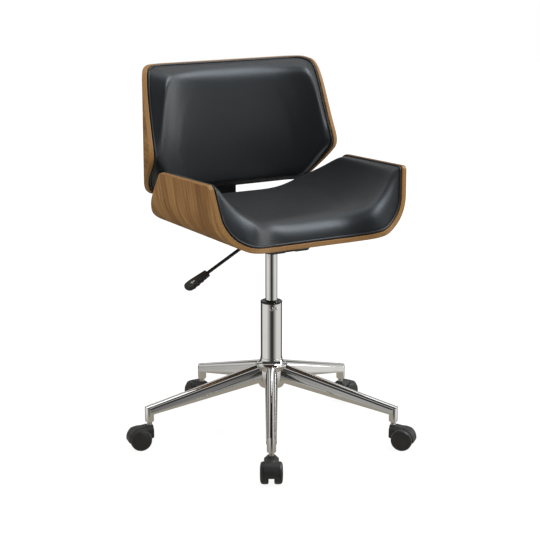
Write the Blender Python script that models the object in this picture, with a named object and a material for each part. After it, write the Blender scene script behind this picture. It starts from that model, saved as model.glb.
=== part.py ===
# Office chair: bent plywood seat and back with padded cushions, on a gas column and a five-legged base.
# Units are metres, +Z is up, the sitter faces -Y and the floor is z = 0.

import math

import bmesh
import bpy
from mathutils import Matrix, Vector

# Fits and small shared sizes
TOUCH_GAP = 0.0003
RUNNING_GAP = 0.0003
WELD_DISTANCE = 0.000002
EDGE_BREAK = 0.0010
CUT_BEYOND = 0.0100

# Where the column's axis stands, so that the origin is under the middle of the whole chair
COLUMN_X = 0.0088
COLUMN_Y = -0.0199

# Five-legged base
LEG_COUNT = 5
BASE_TURN = math.radians(-30.5)
LEG_REACH = 0.2965
HUB_RADIUS = 0.0310
HUB_BOTTOM = 0.1215
HUB_FOOT = 0.0060
HUB_LIP_RADIUS = 0.0380
HUB_LIP_HEIGHT = 0.1765
HUB_LIP_FLARE = 0.0145
HUB_LIP_EDGE = 0.0015
HUB_SHOULDER_HEIGHT = 0.1920
LEG_ROOT_TOP = 0.1785
LEG_ROOT_BOTTOM = 0.1356
LEG_ROOT_WIDTH = 0.0270
LEG_TIP_TOP = 0.0995
LEG_TIP_BOTTOM = 0.0790
LEG_TIP_WIDTH = 0.0208
LEG_WALL = 0.0025
LEG_END_WALL = 0.0040
LEG_ARCH = 1.15
SOCKET_BOTTOM = 0.0620
SOCKET_CHAMFER = 0.0035
SOCKET_BORE_DEPTH = 0.0260

# Casters
WHEEL_RADIUS = 0.0250
WHEEL_GAP = 0.0120
WHEEL_INNER_ROUND = 0.0025
WHEEL_SHOULDER = 0.0060
WHEEL_CAP_DEPTH = 0.0040
CASTER_WIDTH = 0.0510
CASTER_TRAIL = 0.0240
HOOD_WIDTH = 0.0330
HOOD_WALL = 0.0025
HOOD_WHEEL_GAP = 0.0009
HOOD_TOP = 0.0562
HOOD_SHOULDER = 0.0090
HOOD_FRONT_LOW = 0.0300
HOOD_EAR_RADIUS = 0.0085
NECK_RADIUS = 0.0066
STEM_RADIUS = 0.0040
STEM_GRIP_RADIUS = 0.0055
STEM_GRIP_LENGTH = 0.0040
STEM_FLANGE_RADIUS = 0.0062
STEM_FLANGE_THICKNESS = 0.0016
STEM_DEPTH_IN_HOOD = 0.0170
AXLE_RADIUS = 0.0030
AXLE_END_INSET = 0.0045

# Gas column
SLEEVE_RADIUS = 0.0250
SLEEVE_WALL = 0.0022
SLEEVE_TOP = 0.3250
SLEEVE_FLOOR = 0.0030
SLEEVE_LIFT = 0.0010
BUSHING_LENGTH = 0.0750
BUSHING_FLANGE = 0.0040
BUSHING_PROUD = 0.0004
TUBE_RADIUS = 0.0140
TUBE_WALL = 0.0020
TUBE_BOTTOM = 0.2620
TUBE_BORE_TOP = 0.4050
TUBE_TOP_INSET = 0.0015
SEAL_LENGTH = 0.0170
PISTON_LENGTH = 0.0150
PISTON_GROOVE_DEPTH = 0.0012
ROD_RADIUS = 0.0050
ROD_COLLAR_RADIUS = 0.0090
ROD_COLLAR_HEIGHT = 0.0040
ROD_COLLAR_SLOPE = 0.0020
CLIP_THICKNESS = 0.0015
CLIP_MOUTH = 0.0060
PIN_RADIUS = 0.0030
PIN_LENGTH = 0.0300
PIN_TRAVEL = 0.0032
PIN_PROUD = 0.0050
RACE_THICKNESS = 0.0022
RACE_RADIUS = 0.0170
BALL_RADIUS = 0.0019
BALL_COUNT = 8
BALL_CIRCLE = 0.0115
CAGE_HALF_WIDTH = 0.0035

# Bent plywood: a bend lists its stretches from the middle outwards, as (length, radius of the outer face)
PLY_THICKNESS = 0.0110
SEAT_UNDERSIDE = 0.4915
SEAT_FLAT = 0.0700
SEAT_SWEEP_LENGTH = 0.1000
SEAT_SWEEP_RADIUS = 0.4500
SEAT_BEND_LENGTH = 0.1200
SEAT_BEND_RADIUS = 0.1000
SEAT_BEND = ((SEAT_FLAT, None), (SEAT_SWEEP_LENGTH, SEAT_SWEEP_RADIUS), (SEAT_BEND_LENGTH, SEAT_BEND_RADIUS))
SEAT_WING_REACH = 0.3555
SEAT_WING_DROP = 0.0066
SEAT_FRONT = -0.1820
SEAT_FRONT_BULGE = -0.0285
SEAT_BACK = 0.1960
WING_FRONT_CORNER = -0.1720
WING_BACK_CORNER = 0.0640
WING_FRONT_ROUND = 0.0090
WING_BACK_ROUND = 0.0070
BACK_OUTER_FACE = 0.2250
BACK_FLAT = 0.1611
BACK_BEND_LENGTH = 0.1170
BACK_BEND_RADIUS = 0.0852
BACK_BEND = ((BACK_FLAT, None), (BACK_BEND_LENGTH, BACK_BEND_RADIUS))
BACK_WING_REACH = 0.3205
BACK_TOP = 0.8690
BACK_BOTTOM = 0.5655
BACK_TIP_HEIGHT = 0.6710
BACK_TIP_HALF = 0.0110
BACK_TIP_ROUND = 0.0080

# Cushions: the padding fills the inside of each bend, so that the leather sweeps through it in one curve
SEAT_PAD_MIDDLE = 0.0525
SEAT_PAD_BEND = 0.0630
SEAT_PAD_WING = 0.0260
SEAT_PAD_SWELLS = (0.0, 0.0090)
SEAT_SHOULDERS = (0.0520, 0.0240)
BACK_PAD_MIDDLE = 0.0390
BACK_PAD_BEND = 0.0580
BACK_PAD_WING = 0.0280
BACK_PAD_SWELLS = (0.0040, 0.0)
BACK_SHOULDERS = (0.0220, 0.0500)
TIP_SHOULDER = 0.0450
CUSHION_EDGE = 0.0080
CUSHION_MARGIN = 0.0020
CUSHION_CROWN = 0.05
CUSHION_ROWS = 13

# Mechanism under the seat
PLATE_THICKNESS = 0.0027
PLATE_HALF_WIDTH = 0.0950
PLATE_HALF_DEPTH = 0.0800
PLATE_CORNER = 0.0160
PLATE_BOLT_X = 0.0780
PLATE_BOLT_Y = 0.0630
HOUSING_HALF_WIDTH = 0.0530
HOUSING_HALF_DEPTH = 0.0850
HOUSING_BOTTOM = 0.4605
HOUSING_WALL = 0.0025
HOUSING_CHAMFER = 0.0060
HOUSING_FRONT_SLOT = 0.0200
HOUSING_SLOT_HEIGHT = 0.0180
HOUSING_SLOT_FLARE = 0.0050
SOCKET_TUBE_BOTTOM = 0.4430
SOCKET_TUBE_TOP = 0.4765
SOCKET_TUBE_WALL = 0.0045
SOCKET_FLANGE = 0.0030
SOCKET_FLANGE_WIDTH = 0.0050
BOLT_RADIUS = 0.0030
BOLT_HEAD_ACROSS = 0.0100
BOLT_HEAD_HEIGHT = 0.0040

# Height lever
LEVER_ROD_RADIUS = 0.0040
LEVER_PIVOT_HEIGHT = 0.4790
LEVER_SLOPE = math.radians(28.5)
LEVER_TONGUE = 0.0050
TONGUE_FLAT_LENGTH = 0.0190
TONGUE_NECK_LENGTH = 0.0080
ROD_BEND_LENGTH = 0.0030
HANDLE_START = 0.1330
HANDLE_LENGTH = 0.0630
HANDLE_NECK_WIDTH = 0.0190
HANDLE_END_WIDTH = 0.0290
HANDLE_THICKNESS = 0.0120
HANDLE_ROLL = math.radians(20.0)
HANDLE_ROD_DEPTH = 0.0300
HANDLE_WAVE = 0.0009
HANDLE_WAVE_COUNT = 5

# Bracket that carries the back
BRACKET_WIDTH = 0.0660
BRACKET_THICKNESS = 0.0050
BRACKET_BEND = 0.0120
BRACKET_FRONT = 0.0950
BRACKET_TOP = 0.7250
BRACKET_CORNER = 0.0120
BACK_BOLT_HEIGHTS = (0.6300, 0.6950)


def clear_scene():
    for item in list(bpy.data.objects):
        bpy.data.objects.remove(item, do_unlink=True)


def finish(name, colour, roughness, metallic):
    material = bpy.data.materials.new(name)
    material.use_nodes = True
    shader = material.node_tree.nodes["Principled BSDF"]
    shader.inputs["Base Color"].default_value = (*colour, 1.0)
    shader.inputs["Roughness"].default_value = roughness
    shader.inputs["Metallic"].default_value = metallic
    return material


def empty(name, parent=None, location=(0.0, 0.0, 0.0), turn=(0.0, 0.0, 0.0)):
    item = bpy.data.objects.new(name, None)
    bpy.context.collection.objects.link(item)
    item.empty_display_size = 0.02
    item.parent = parent
    item.location = location
    item.rotation_euler = turn
    return item


def piece(name, mesh, material, parent=None, location=(0.0, 0.0, 0.0), turn=(0.0, 0.0, 0.0)):
    item = bpy.data.objects.new(name, mesh)
    bpy.context.collection.objects.link(item)
    item.parent = parent
    item.location = location
    item.rotation_euler = turn
    mesh.materials.clear()
    mesh.materials.append(material)
    mesh.shade_smooth()
    mesh.set_sharp_from_angle(angle=math.radians(35.0))
    return item


def to_mesh(shape, name):
    bmesh.ops.recalc_face_normals(shape, faces=shape.faces)
    mesh = bpy.data.meshes.new(name)
    shape.to_mesh(mesh)
    shape.free()
    return mesh


def lathe(name, profile, segments, phase=0.0):
    # A profile whose two ends lie on the axis is left open there, any other is closed into a ring.
    shape = bmesh.new()
    spun = [shape.verts.new((radius, 0.0, height)) for radius, height in profile]
    pairs = list(zip(spun[:-1], spun[1:]))
    if profile[0][0] > 0.0:
        pairs.append((spun[-1], spun[0]))
    edges = [shape.edges.new(pair) for pair in pairs]
    bmesh.ops.rotate(shape, verts=spun, cent=(0, 0, 0), matrix=Matrix.Rotation(phase, 3, "Z"))
    bmesh.ops.spin(
        shape,
        geom=spun + edges,
        cent=(0, 0, 0),
        axis=(0, 0, 1),
        angle=2.0 * math.pi,
        steps=segments,
        use_merge=True,
    )
    bmesh.ops.remove_doubles(shape, verts=shape.verts, dist=WELD_DISTANCE)
    return to_mesh(shape, name)


def tube_profile(inner, outer, low, high):
    # Section of a plain ring, for the lathe.
    return [(inner, low), (outer, low), (outer, high), (inner, high)]


def prism(name, outline, low, high, axis):
    # Extrudes a closed outline along X, Y or Z; the outline's two values are the other two axes in order.
    order = {"X": (2, 0, 1), "Y": (0, 2, 1), "Z": (0, 1, 2)}[axis]
    shape = bmesh.new()
    rims = []
    for level in (low, high):
        corners = [(a, b, level) for a, b in outline]
        rims.append([shape.verts.new([corner[k] for k in order]) for corner in corners])
    shape.faces.new(rims[0])
    shape.faces.new(list(reversed(rims[1])))
    bmesh.ops.bridge_loops(shape, edges=[edge for edge in shape.edges if len(edge.link_faces) == 1])
    return to_mesh(shape, name)


def box(name, low, high):
    outline = [(low[0], low[1]), (high[0], low[1]), (high[0], high[1]), (low[0], high[1])]
    return prism(name, outline, low[2], high[2], "Z")


def rod_mesh(name, radius, low, high, segments, axis="Z"):
    mesh = lathe(name, [(0.0, low), (radius, low), (radius, high), (0.0, high)], segments)
    if axis == "X":
        mesh.transform(Matrix.Rotation(math.pi / 2, 4, "Y"))
    if axis == "Y":
        mesh.transform(Matrix.Rotation(-math.pi / 2, 4, "X"))
    return mesh


def moved(mesh, x, y, z):
    mesh.transform(Matrix.Translation((x, y, z)))
    return mesh


def combine(mesh, others, operation):
    # Applies one Boolean after another, welding what each one leaves, and returns the result as a new mesh.
    for other in others:
        body = bpy.data.objects.new("work_body", mesh)
        tool = bpy.data.objects.new("work_tool", other)
        bpy.context.collection.objects.link(body)
        bpy.context.collection.objects.link(tool)
        tool.hide_render = True
        tool.display_type = "WIRE"
        modifier = body.modifiers.new("combine", "BOOLEAN")
        modifier.operation = operation
        modifier.solver = "EXACT"
        modifier.object = tool
        bpy.context.view_layer.update()
        result = bpy.data.meshes.new_from_object(body.evaluated_get(bpy.context.evaluated_depsgraph_get()))
        bpy.data.objects.remove(body, do_unlink=True)
        bpy.data.objects.remove(tool, do_unlink=True)
        shape = bmesh.new()
        shape.from_mesh(result)
        bmesh.ops.remove_doubles(shape, verts=shape.verts, dist=WELD_DISTANCE)
        bmesh.ops.dissolve_degenerate(shape, edges=shape.edges, dist=WELD_DISTANCE)
        name = mesh.name
        mesh = to_mesh(shape, name)
    return mesh


def arc(centre, radius, start, end, count):
    angles = [start + (end - start) * k / count for k in range(count + 1)]
    return [(centre[0] + radius * math.cos(a), centre[1] + radius * math.sin(a)) for a in angles]


def smooth_curve(points, value):
    # Monotone cubic through a few chosen points, so an outline bends without overshooting them.
    xs = [point[0] for point in points]
    ys = [point[1] for point in points]
    steps = [(ys[k + 1] - ys[k]) / (xs[k + 1] - xs[k]) for k in range(len(xs) - 1)]
    slopes = [steps[0]]
    for before, after in zip(steps[:-1], steps[1:]):
        same_way = before * after > 0.0
        slopes.append(2.0 * before * after / (before + after) if same_way else 0.0)
    slopes.append(steps[-1])
    value = min(max(value, xs[0]), xs[-1])
    k = max(index for index in range(len(xs) - 1) if xs[index] <= value)
    width = xs[k + 1] - xs[k]
    t = (value - xs[k]) / width
    start = (1 + 2 * t) * (1 - t) ** 2 * ys[k] + t * (1 - t) ** 2 * width * slopes[k]
    end = t * t * (3 - 2 * t) * ys[k + 1] + t * t * (t - 1) * width * slopes[k + 1]
    return start + end


# Bent plywood

def bend_path(along, bend):
    # Follows the outer face of a panel from its middle: sideways place, rise and slope of the face.
    left, sideways, rise, slope = abs(along), 0.0, 0.0, 0.0
    for length, radius in bend + ((1.0, None),):
        step = min(left, length)
        left -= step
        if radius is None:
            sideways += step * math.cos(slope)
            rise += step * math.sin(slope)
        else:
            turned = step / radius
            sideways += radius * (math.sin(slope + turned) - math.sin(slope))
            rise += radius * (math.cos(slope) - math.cos(slope + turned))
            slope += turned
    return sideways, rise, slope


def seat_point(along, across, depth):
    sideways, rise, slope = bend_path(along, SEAT_BEND)
    x = math.copysign(sideways - depth * math.sin(slope), along)
    return Vector((x, across, SEAT_UNDERSIDE + rise + depth * math.cos(slope)))


def back_point(along, across, depth):
    sideways, rise, slope = bend_path(along, BACK_BEND)
    x = math.copysign(sideways - depth * math.sin(slope), along)
    return Vector((x, BACK_OUTER_FACE - rise - depth * math.cos(slope), across))


def tip_rounding(along, reach, radius):
    # How far an edge draws back where a panel's end corner is rounded off.
    inside = max(abs(along) - (reach - radius), 0.0)
    return radius - math.sqrt(max(radius * radius - min(inside, radius) ** 2, 0.0))


def bend_end(bend):
    return sum(length for length, radius in bend)


def outline_curve(along, reach, start, change, shares):
    # An outline that starts level and then changes: shares are (part of the reach, part of the change).
    points = [(0.0, start)]
    points += [(part * reach, start + portion * change) for part, portion in shares]
    return smooth_curve(points, abs(along))


def seat_front(along):
    reach, bulge = SEAT_WING_REACH, SEAT_FRONT_BULGE
    corner = (WING_FRONT_CORNER - SEAT_FRONT) / bulge
    shares = [(0.197, 0.0), (0.295, 0.18), (0.492, 1.0), (0.591, 0.72), (1.0, corner)]
    edge = outline_curve(along, reach, SEAT_FRONT, bulge, shares)
    return edge + tip_rounding(along, reach, WING_FRONT_ROUND)


def seat_back(along):
    reach, cut = SEAT_WING_REACH, WING_BACK_CORNER - SEAT_BACK
    shares = [(0.478, 0.0), (0.613, 0.12), (0.731, 0.38), (1.0, 1.0)]
    edge = outline_curve(along, reach, SEAT_BACK, cut, shares)
    return edge - tip_rounding(along, reach, WING_BACK_ROUND)


def back_top(along):
    reach, drop = BACK_WING_REACH, BACK_TIP_HEIGHT - BACK_TOP
    tip = 1.0 + BACK_TIP_HALF / drop
    shares = [(0.640, 0.0), (0.743, 0.035), (0.785, 0.096), (0.819, 0.197), (0.9485, 0.747), (1.0, tip)]
    edge = outline_curve(along, reach, BACK_TOP, drop, shares)
    return edge - tip_rounding(along, reach, BACK_TIP_ROUND)


def back_bottom(along):
    reach, lift = BACK_WING_REACH, BACK_TIP_HEIGHT - BACK_BOTTOM
    tip = 1.0 - BACK_TIP_HALF / lift
    shares = [(0.6115, 0.0), (0.711, 0.115), (0.825, 0.400), (0.9516, 0.740), (1.0, tip)]
    edge = outline_curve(along, reach, BACK_BOTTOM, lift, shares)
    return edge + tip_rounding(along, reach, BACK_TIP_ROUND)


def columns_over(bend, reach, bend_count, tip_count):
    # Places along a panel: few over the flat, many over the bend, closer together at the tip.
    flat, end = bend[0][0], bend_end(bend)
    half = [0.0, 0.34 * flat, 0.68 * flat]
    half += [flat + (end - flat) * k / bend_count for k in range(bend_count + 1)]
    for k in range(1, tip_count + 1):
        half.append(end + (reach - end) * math.sin(0.5 * math.pi * k / tip_count))
    return [-value for value in reversed(half[1:])] + half


def eased(count):
    return [0.5 - 0.5 * math.cos(math.pi * k / count) for k in range(count + 1)]


def bent_solid(name, columns, rows, near, far, place, lower, upper, end_drop=0.0):
    # A closed sheet: a grid of points on its lower and upper side, joined all round.
    # The end drop shortens the wings towards the last row.
    shape = bmesh.new()
    sides = []
    for depth_at in (lower, upper):
        grid = []
        for along in columns:
            start, end = near(along), far(along)
            line = []
            for t in rows:
                reached = along * (1.0 - end_drop * t * abs(along) ** 3)
                line.append(place(reached, start + (end - start) * t, depth_at(along, t)))
            grid.append([shape.verts.new(point) for point in line])
        sides.append(grid)
    last, end = len(columns) - 1, len(rows) - 1
    for grid in sides:
        for i in range(last):
            for j in range(end):
                shape.faces.new((grid[i][j], grid[i + 1][j], grid[i + 1][j + 1], grid[i][j + 1]))
    below, above = sides
    for i in range(last):
        shape.faces.new((below[i][0], above[i][0], above[i + 1][0], below[i + 1][0]))
        shape.faces.new((below[i][end], above[i][end], above[i + 1][end], below[i + 1][end]))
    for j in range(end):
        shape.faces.new((below[0][j], above[0][j], above[0][j + 1], below[0][j + 1]))
        shape.faces.new((below[last][j], above[last][j], above[last][j + 1], below[last][j + 1]))
    return to_mesh(shape, name)


def ply_panel(name, columns, near, far, place, end_drop=0.0):
    def outer(along, t):
        return 0.0

    def inner(along, t):
        return PLY_THICKNESS

    return bent_solid(name, columns, [0.0, 0.5, 1.0], near, far, place, outer, inner, end_drop)


def shoulder(distance, width):
    # How full the pad is at a distance from its edge: a steep start, then a long round shoulder.
    share = min(max(distance / width, 0.0), 1.0)
    return (1.0 - (1.0 - share) ** 2.3) ** 0.55


def cushion(name, columns, reach, near, far, place, padding, shoulders, swells, end_drop=0.0):
    # The pad lies on the panel, its edge drawn in a little, and swells up from the edge to its crown.
    # Shoulders and swells are given for its first and last row, as they are in the middle of the panel.
    scale = (reach - CUSHION_MARGIN) / reach
    places = [along * scale for along in columns]

    def drawn_near(along):
        return near(along / scale) + CUSHION_MARGIN

    def drawn_far(along):
        return far(along / scale) - CUSHION_MARGIN

    def under(along, t):
        return PLY_THICKNESS + TOUCH_GAP

    def over(along, t):
        span = drawn_far(along) - drawn_near(along)
        bent = min(2.0 * abs(along) / reach, 1.0) ** 2
        first, last = [width + (TIP_SHOULDER - width) * bent for width in shoulders]
        fullness = shoulder(t * span, first) * shoulder((1.0 - t) * span, last)
        fullness *= shoulder(reach * scale - abs(along), TIP_SHOULDER)
        crown = 1.0 + CUSHION_CROWN * math.sin(math.pi * t)
        swell = swells[0] * (1.0 - t) ** 2 + swells[1] * t ** 2
        full = smooth_curve(padding, abs(along)) * crown + swell * (1.0 - bent)
        return PLY_THICKNESS + TOUCH_GAP + CUSHION_EDGE + (full - CUSHION_EDGE) * fullness

    rows = eased(CUSHION_ROWS)
    return bent_solid(name, places, rows, drawn_near, drawn_far, place, under, over, end_drop)


def seat_padding():
    # Thickness of the seat's pad along the panel, as (distance from the middle, thickness).
    middle, bend, wing = SEAT_PAD_MIDDLE, SEAT_PAD_BEND, SEAT_PAD_WING
    end = bend_end(SEAT_BEND)
    return [
        (0.0, middle),
        (0.29 * end, middle + 0.06 * (bend - middle)),
        (0.45 * end, middle + 0.36 * (bend - middle)),
        (0.59 * end, middle + 0.88 * (bend - middle)),
        (0.73 * end, bend),
        (0.87 * end, middle + 0.78 * (bend - middle)),
        (end, middle + 0.12 * (bend - middle)),
        (end + 0.48 * (SEAT_WING_REACH - end), wing + 0.40 * (middle - wing)),
        (SEAT_WING_REACH, wing),
    ]


def back_padding():
    # Thickness of the back's pad along the panel, as (distance from the middle, thickness).
    middle, bend, wing = BACK_PAD_MIDDLE, BACK_PAD_BEND, BACK_PAD_WING
    end = bend_end(BACK_BEND)
    return [
        (0.0, middle),
        (0.36 * end, middle + 0.02 * (bend - middle)),
        (0.47 * end, middle + 0.27 * (bend - middle)),
        (0.575 * end, middle + 0.80 * (bend - middle)),
        (0.76 * end, bend),
        (0.92 * end, middle + 0.85 * (bend - middle)),
        (end, middle + 0.66 * (bend - middle)),
        (end + 0.50 * (BACK_WING_REACH - end), wing + 0.30 * (bend - wing)),
        (BACK_WING_REACH, wing),
    ]


def bolt_hole(x, y, low, high):
    return moved(rod_mesh("hole", BOLT_RADIUS + RUNNING_GAP, low, high, 12), x, y, 0.0)


def back_bolt_hole(height, low, high):
    return moved(rod_mesh("hole", BOLT_RADIUS + RUNNING_GAP, low, high, 12, "Y"), 0.0, 0.0, height)


def plate_bolt_places():
    return [(x, y) for x in (-PLATE_BOLT_X, PLATE_BOLT_X) for y in (-PLATE_BOLT_Y, PLATE_BOLT_Y)]


def hex_bolt(name, shank):
    # Head below, shank up: hexagon head with its washer face at height zero.
    corner = BOLT_HEAD_ACROSS / math.sqrt(3.0)
    profile = [
        (0.0, -BOLT_HEAD_HEIGHT),
        (0.8 * corner, -BOLT_HEAD_HEIGHT),
        (corner, -0.75 * BOLT_HEAD_HEIGHT),
        (corner, 0.0),
        (0.0, 0.0),
    ]
    head = lathe(name, profile, 6)
    body = rod_mesh("shank", BOLT_RADIUS, -0.5 * BOLT_HEAD_HEIGHT, shank, 12)
    return combine(head, [body], "UNION")


def build_seat(parent, wood, leather):
    reach = SEAT_WING_REACH
    columns = columns_over(SEAT_BEND, reach, 11, 4)
    end_drop = SEAT_WING_DROP / reach ** 4
    shell = ply_panel("seat_shell", columns, seat_front, seat_back, seat_point, end_drop)
    low, high = SEAT_UNDERSIDE - PLY_THICKNESS, SEAT_UNDERSIDE + 2.0 * PLY_THICKNESS
    holes = [bolt_hole(x, y, low, high) for x, y in plate_bolt_places()]
    piece("seat_shell", combine(shell, holes, "DIFFERENCE"), wood, parent)
    pad = cushion(
        "seat_cushion",
        columns,
        reach,
        seat_front,
        seat_back,
        seat_point,
        seat_padding(),
        SEAT_SHOULDERS,
        SEAT_PAD_SWELLS,
        end_drop,
    )
    piece("seat_cushion", pad, leather, parent)


def build_back(parent, wood, leather):
    reach = BACK_WING_REACH
    columns = columns_over(BACK_BEND, reach, 10, 4)
    shell = ply_panel("back_shell", columns, back_bottom, back_top, back_point)
    low, high = BACK_OUTER_FACE - 2.0 * PLY_THICKNESS, BACK_OUTER_FACE + PLY_THICKNESS
    holes = [back_bolt_hole(height, low, high) for height in BACK_BOLT_HEIGHTS]
    piece("back_shell", combine(shell, holes, "DIFFERENCE"), wood, parent)
    pad = cushion(
        "back_cushion",
        columns,
        reach,
        back_bottom,
        back_top,
        back_point,
        back_padding(),
        BACK_SHOULDERS,
        BACK_PAD_SWELLS,
    )
    piece("back_cushion", pad, leather, parent)


# Mechanism, lever and bracket

def rounded_rectangle(half_x, half_y, radius, count):
    outline = []
    corners = [(1, 1, 0.0), (-1, 1, 0.5), (-1, -1, 1.0), (1, -1, 1.5)]
    for side_x, side_y, start in corners:
        centre = (side_x * (half_x - radius), side_y * (half_y - radius))
        outline += arc(centre, radius, start * math.pi, (start + 0.5) * math.pi, count)
    return outline


def plate_bottom():
    return SEAT_UNDERSIDE - TOUCH_GAP - PLATE_THICKNESS


def build_seat_plate(parent, steel):
    top, bottom = SEAT_UNDERSIDE - TOUCH_GAP, plate_bottom()
    outline = rounded_rectangle(PLATE_HALF_WIDTH, PLATE_HALF_DEPTH, PLATE_CORNER, 4)
    plate = prism("seat_plate", outline, bottom, top, "Z")
    holes = [bolt_hole(x, y, bottom - CUT_BEYOND, top + CUT_BEYOND) for x, y in plate_bolt_places()]
    piece("seat_plate", combine(plate, holes, "DIFFERENCE"), steel, parent)
    shank = PLATE_THICKNESS + PLY_THICKNESS + TOUCH_GAP - EDGE_BREAK
    for number, (x, y) in enumerate(plate_bolt_places(), 1):
        name = f"plate_bolt_{number}"
        piece(name, hex_bolt(name, shank), steel, parent, (x, y, bottom - TOUCH_GAP))


def housing_outline(inset, rise):
    # Section of the folded box; the inset one is the hollow, which rises past the open top.
    half, bottom = HOUSING_HALF_WIDTH - inset, HOUSING_BOTTOM + inset
    top = plate_bottom() - TOUCH_GAP + rise
    cut = HOUSING_CHAMFER - inset * (2.0 - math.sqrt(2.0))
    return [
        (-half, top),
        (-half, bottom + cut),
        (-half + cut, bottom),
        (half - cut, bottom),
        (half, bottom + cut),
        (half, top),
    ]


def front_slot():
    # The slot in the housing's front wall, flared at its foot.
    half, flare = 0.5 * HOUSING_FRONT_SLOT, HOUSING_SLOT_FLARE
    top = HOUSING_BOTTOM + HOUSING_SLOT_HEIGHT
    outline = [
        (-half - flare, HOUSING_BOTTOM - EDGE_BREAK),
        (half + flare, HOUSING_BOTTOM - EDGE_BREAK),
        (half, HOUSING_BOTTOM + flare),
        (half, top),
        (-half, top),
        (-half, HOUSING_BOTTOM + flare),
    ]
    front = -HOUSING_HALF_DEPTH
    return prism("slot", outline, front - CUT_BEYOND, front + 2.0 * HOUSING_WALL, "Y")


def lever_notch():
    # The cut in the housing's side wall that the lever rod leaves through, with room for its swing.
    half, wall = LEVER_ROD_RADIUS + 2.0 * RUNNING_GAP, -HOUSING_HALF_WIDTH
    low = LEVER_PIVOT_HEIGHT - LEVER_ROD_RADIUS - 0.5 * LEVER_ROD_RADIUS
    return box(
        "notch",
        (wall - CUT_BEYOND, -half, low),
        (wall + 2.0 * HOUSING_WALL, half, SEAT_UNDERSIDE),
    )


def build_housing(parent, steel):
    depth = HOUSING_HALF_DEPTH
    body = prism("mechanism_housing", housing_outline(0.0, 0.0), -depth, depth, "Y")
    hollow = housing_outline(HOUSING_WALL, CUT_BEYOND)
    inside = prism("inside", hollow, -depth + HOUSING_WALL, depth - HOUSING_WALL, "Y")
    radius = TUBE_RADIUS + TOUCH_GAP + SOCKET_TUBE_WALL + TOUCH_GAP
    opening = rod_mesh("opening", radius, HOUSING_BOTTOM - CUT_BEYOND, HOUSING_BOTTOM + CUT_BEYOND, 32)
    cuts = [inside, front_slot(), lever_notch(), opening]
    piece("mechanism_housing", combine(body, cuts, "DIFFERENCE"), steel, parent)


def build_column_socket(parent, steel):
    inner = TUBE_RADIUS + TOUCH_GAP
    outer = inner + SOCKET_TUBE_WALL
    flange = outer + SOCKET_FLANGE_WIDTH
    seat = HOUSING_BOTTOM + HOUSING_WALL + TOUCH_GAP
    profile = [
        (inner, SOCKET_TUBE_BOTTOM),
        (outer - EDGE_BREAK, SOCKET_TUBE_BOTTOM),
        (outer, SOCKET_TUBE_BOTTOM + EDGE_BREAK),
        (outer, seat),
        (flange, seat),
        (flange, seat + SOCKET_FLANGE),
        (outer, seat + SOCKET_FLANGE),
        (outer, SOCKET_TUBE_TOP),
        (inner, SOCKET_TUBE_TOP),
    ]
    piece("column_socket", lathe("column_socket", profile, 28), steel, parent)


def tube_top():
    return SOCKET_TUBE_TOP - TUBE_TOP_INSET


def pin_top():
    return tube_top() + PIN_PROUD


def swept_rod(name, spine, radius):
    # A round bar along a line of points in the XZ plane.
    curve = bpy.data.curves.new(name, "CURVE")
    curve.dimensions = "3D"
    curve.bevel_depth = radius
    curve.bevel_resolution = 3
    curve.use_fill_caps = True
    line = curve.splines.new("POLY")
    line.points.add(len(spine) - 1)
    for point, (x, z) in zip(line.points, spine):
        point.co = (x, 0.0, z, 1.0)
    guide = bpy.data.objects.new("guide", curve)
    bpy.context.collection.objects.link(guide)
    bpy.context.view_layer.update()
    mesh = bpy.data.meshes.new_from_object(guide.evaluated_get(bpy.context.evaluated_depsgraph_get()))
    bpy.data.objects.remove(guide, do_unlink=True)
    return mesh


def build_lever(pivot, steel, nylon):
    # Local frame: the pivot in the housing's wall is the origin, and the rod runs out along -X.
    pin_x = HOUSING_HALF_WIDTH - 0.5 * HOUSING_WALL
    tongue_end = pin_x + CUT_BEYOND
    flat_start = tongue_end - TONGUE_FLAT_LENGTH
    middle = pin_top() + TOUCH_GAP - LEVER_PIVOT_HEIGHT + 0.5 * LEVER_TONGUE
    bend_x = middle / math.tan(LEVER_SLOPE)
    spine = [
        (tongue_end, middle),
        (flat_start + EDGE_BREAK, middle),
        (flat_start + EDGE_BREAK - TONGUE_NECK_LENGTH, middle),
        (bend_x + ROD_BEND_LENGTH, middle),
        (bend_x, middle - 0.17 * ROD_BEND_LENGTH),
        (bend_x - ROD_BEND_LENGTH, middle - 0.67 * ROD_BEND_LENGTH),
    ]
    rod_end = HANDLE_START + HANDLE_ROD_DEPTH
    for distance in (-ROD_BEND_LENGTH, 0.5 * rod_end, rod_end):
        spine.append((-distance * math.cos(LEVER_SLOPE), -distance * math.sin(LEVER_SLOPE)))
    shape = bmesh.new()
    shape.from_mesh(swept_rod("lever_rod", spine, LEVER_ROD_RADIUS))
    bmesh.ops.remove_doubles(shape, verts=shape.verts, dist=WELD_DISTANCE)
    for vertex in shape.verts:
        if vertex.co.x > flat_start:
            vertex.co.z = middle + (vertex.co.z - middle) * 0.5 * LEVER_TONGUE / LEVER_ROD_RADIUS
            vertex.co.y *= 1.25
    piece("lever_rod", to_mesh(shape, "lever_rod"), steel, pivot)
    build_handle(pivot, nylon)


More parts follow.
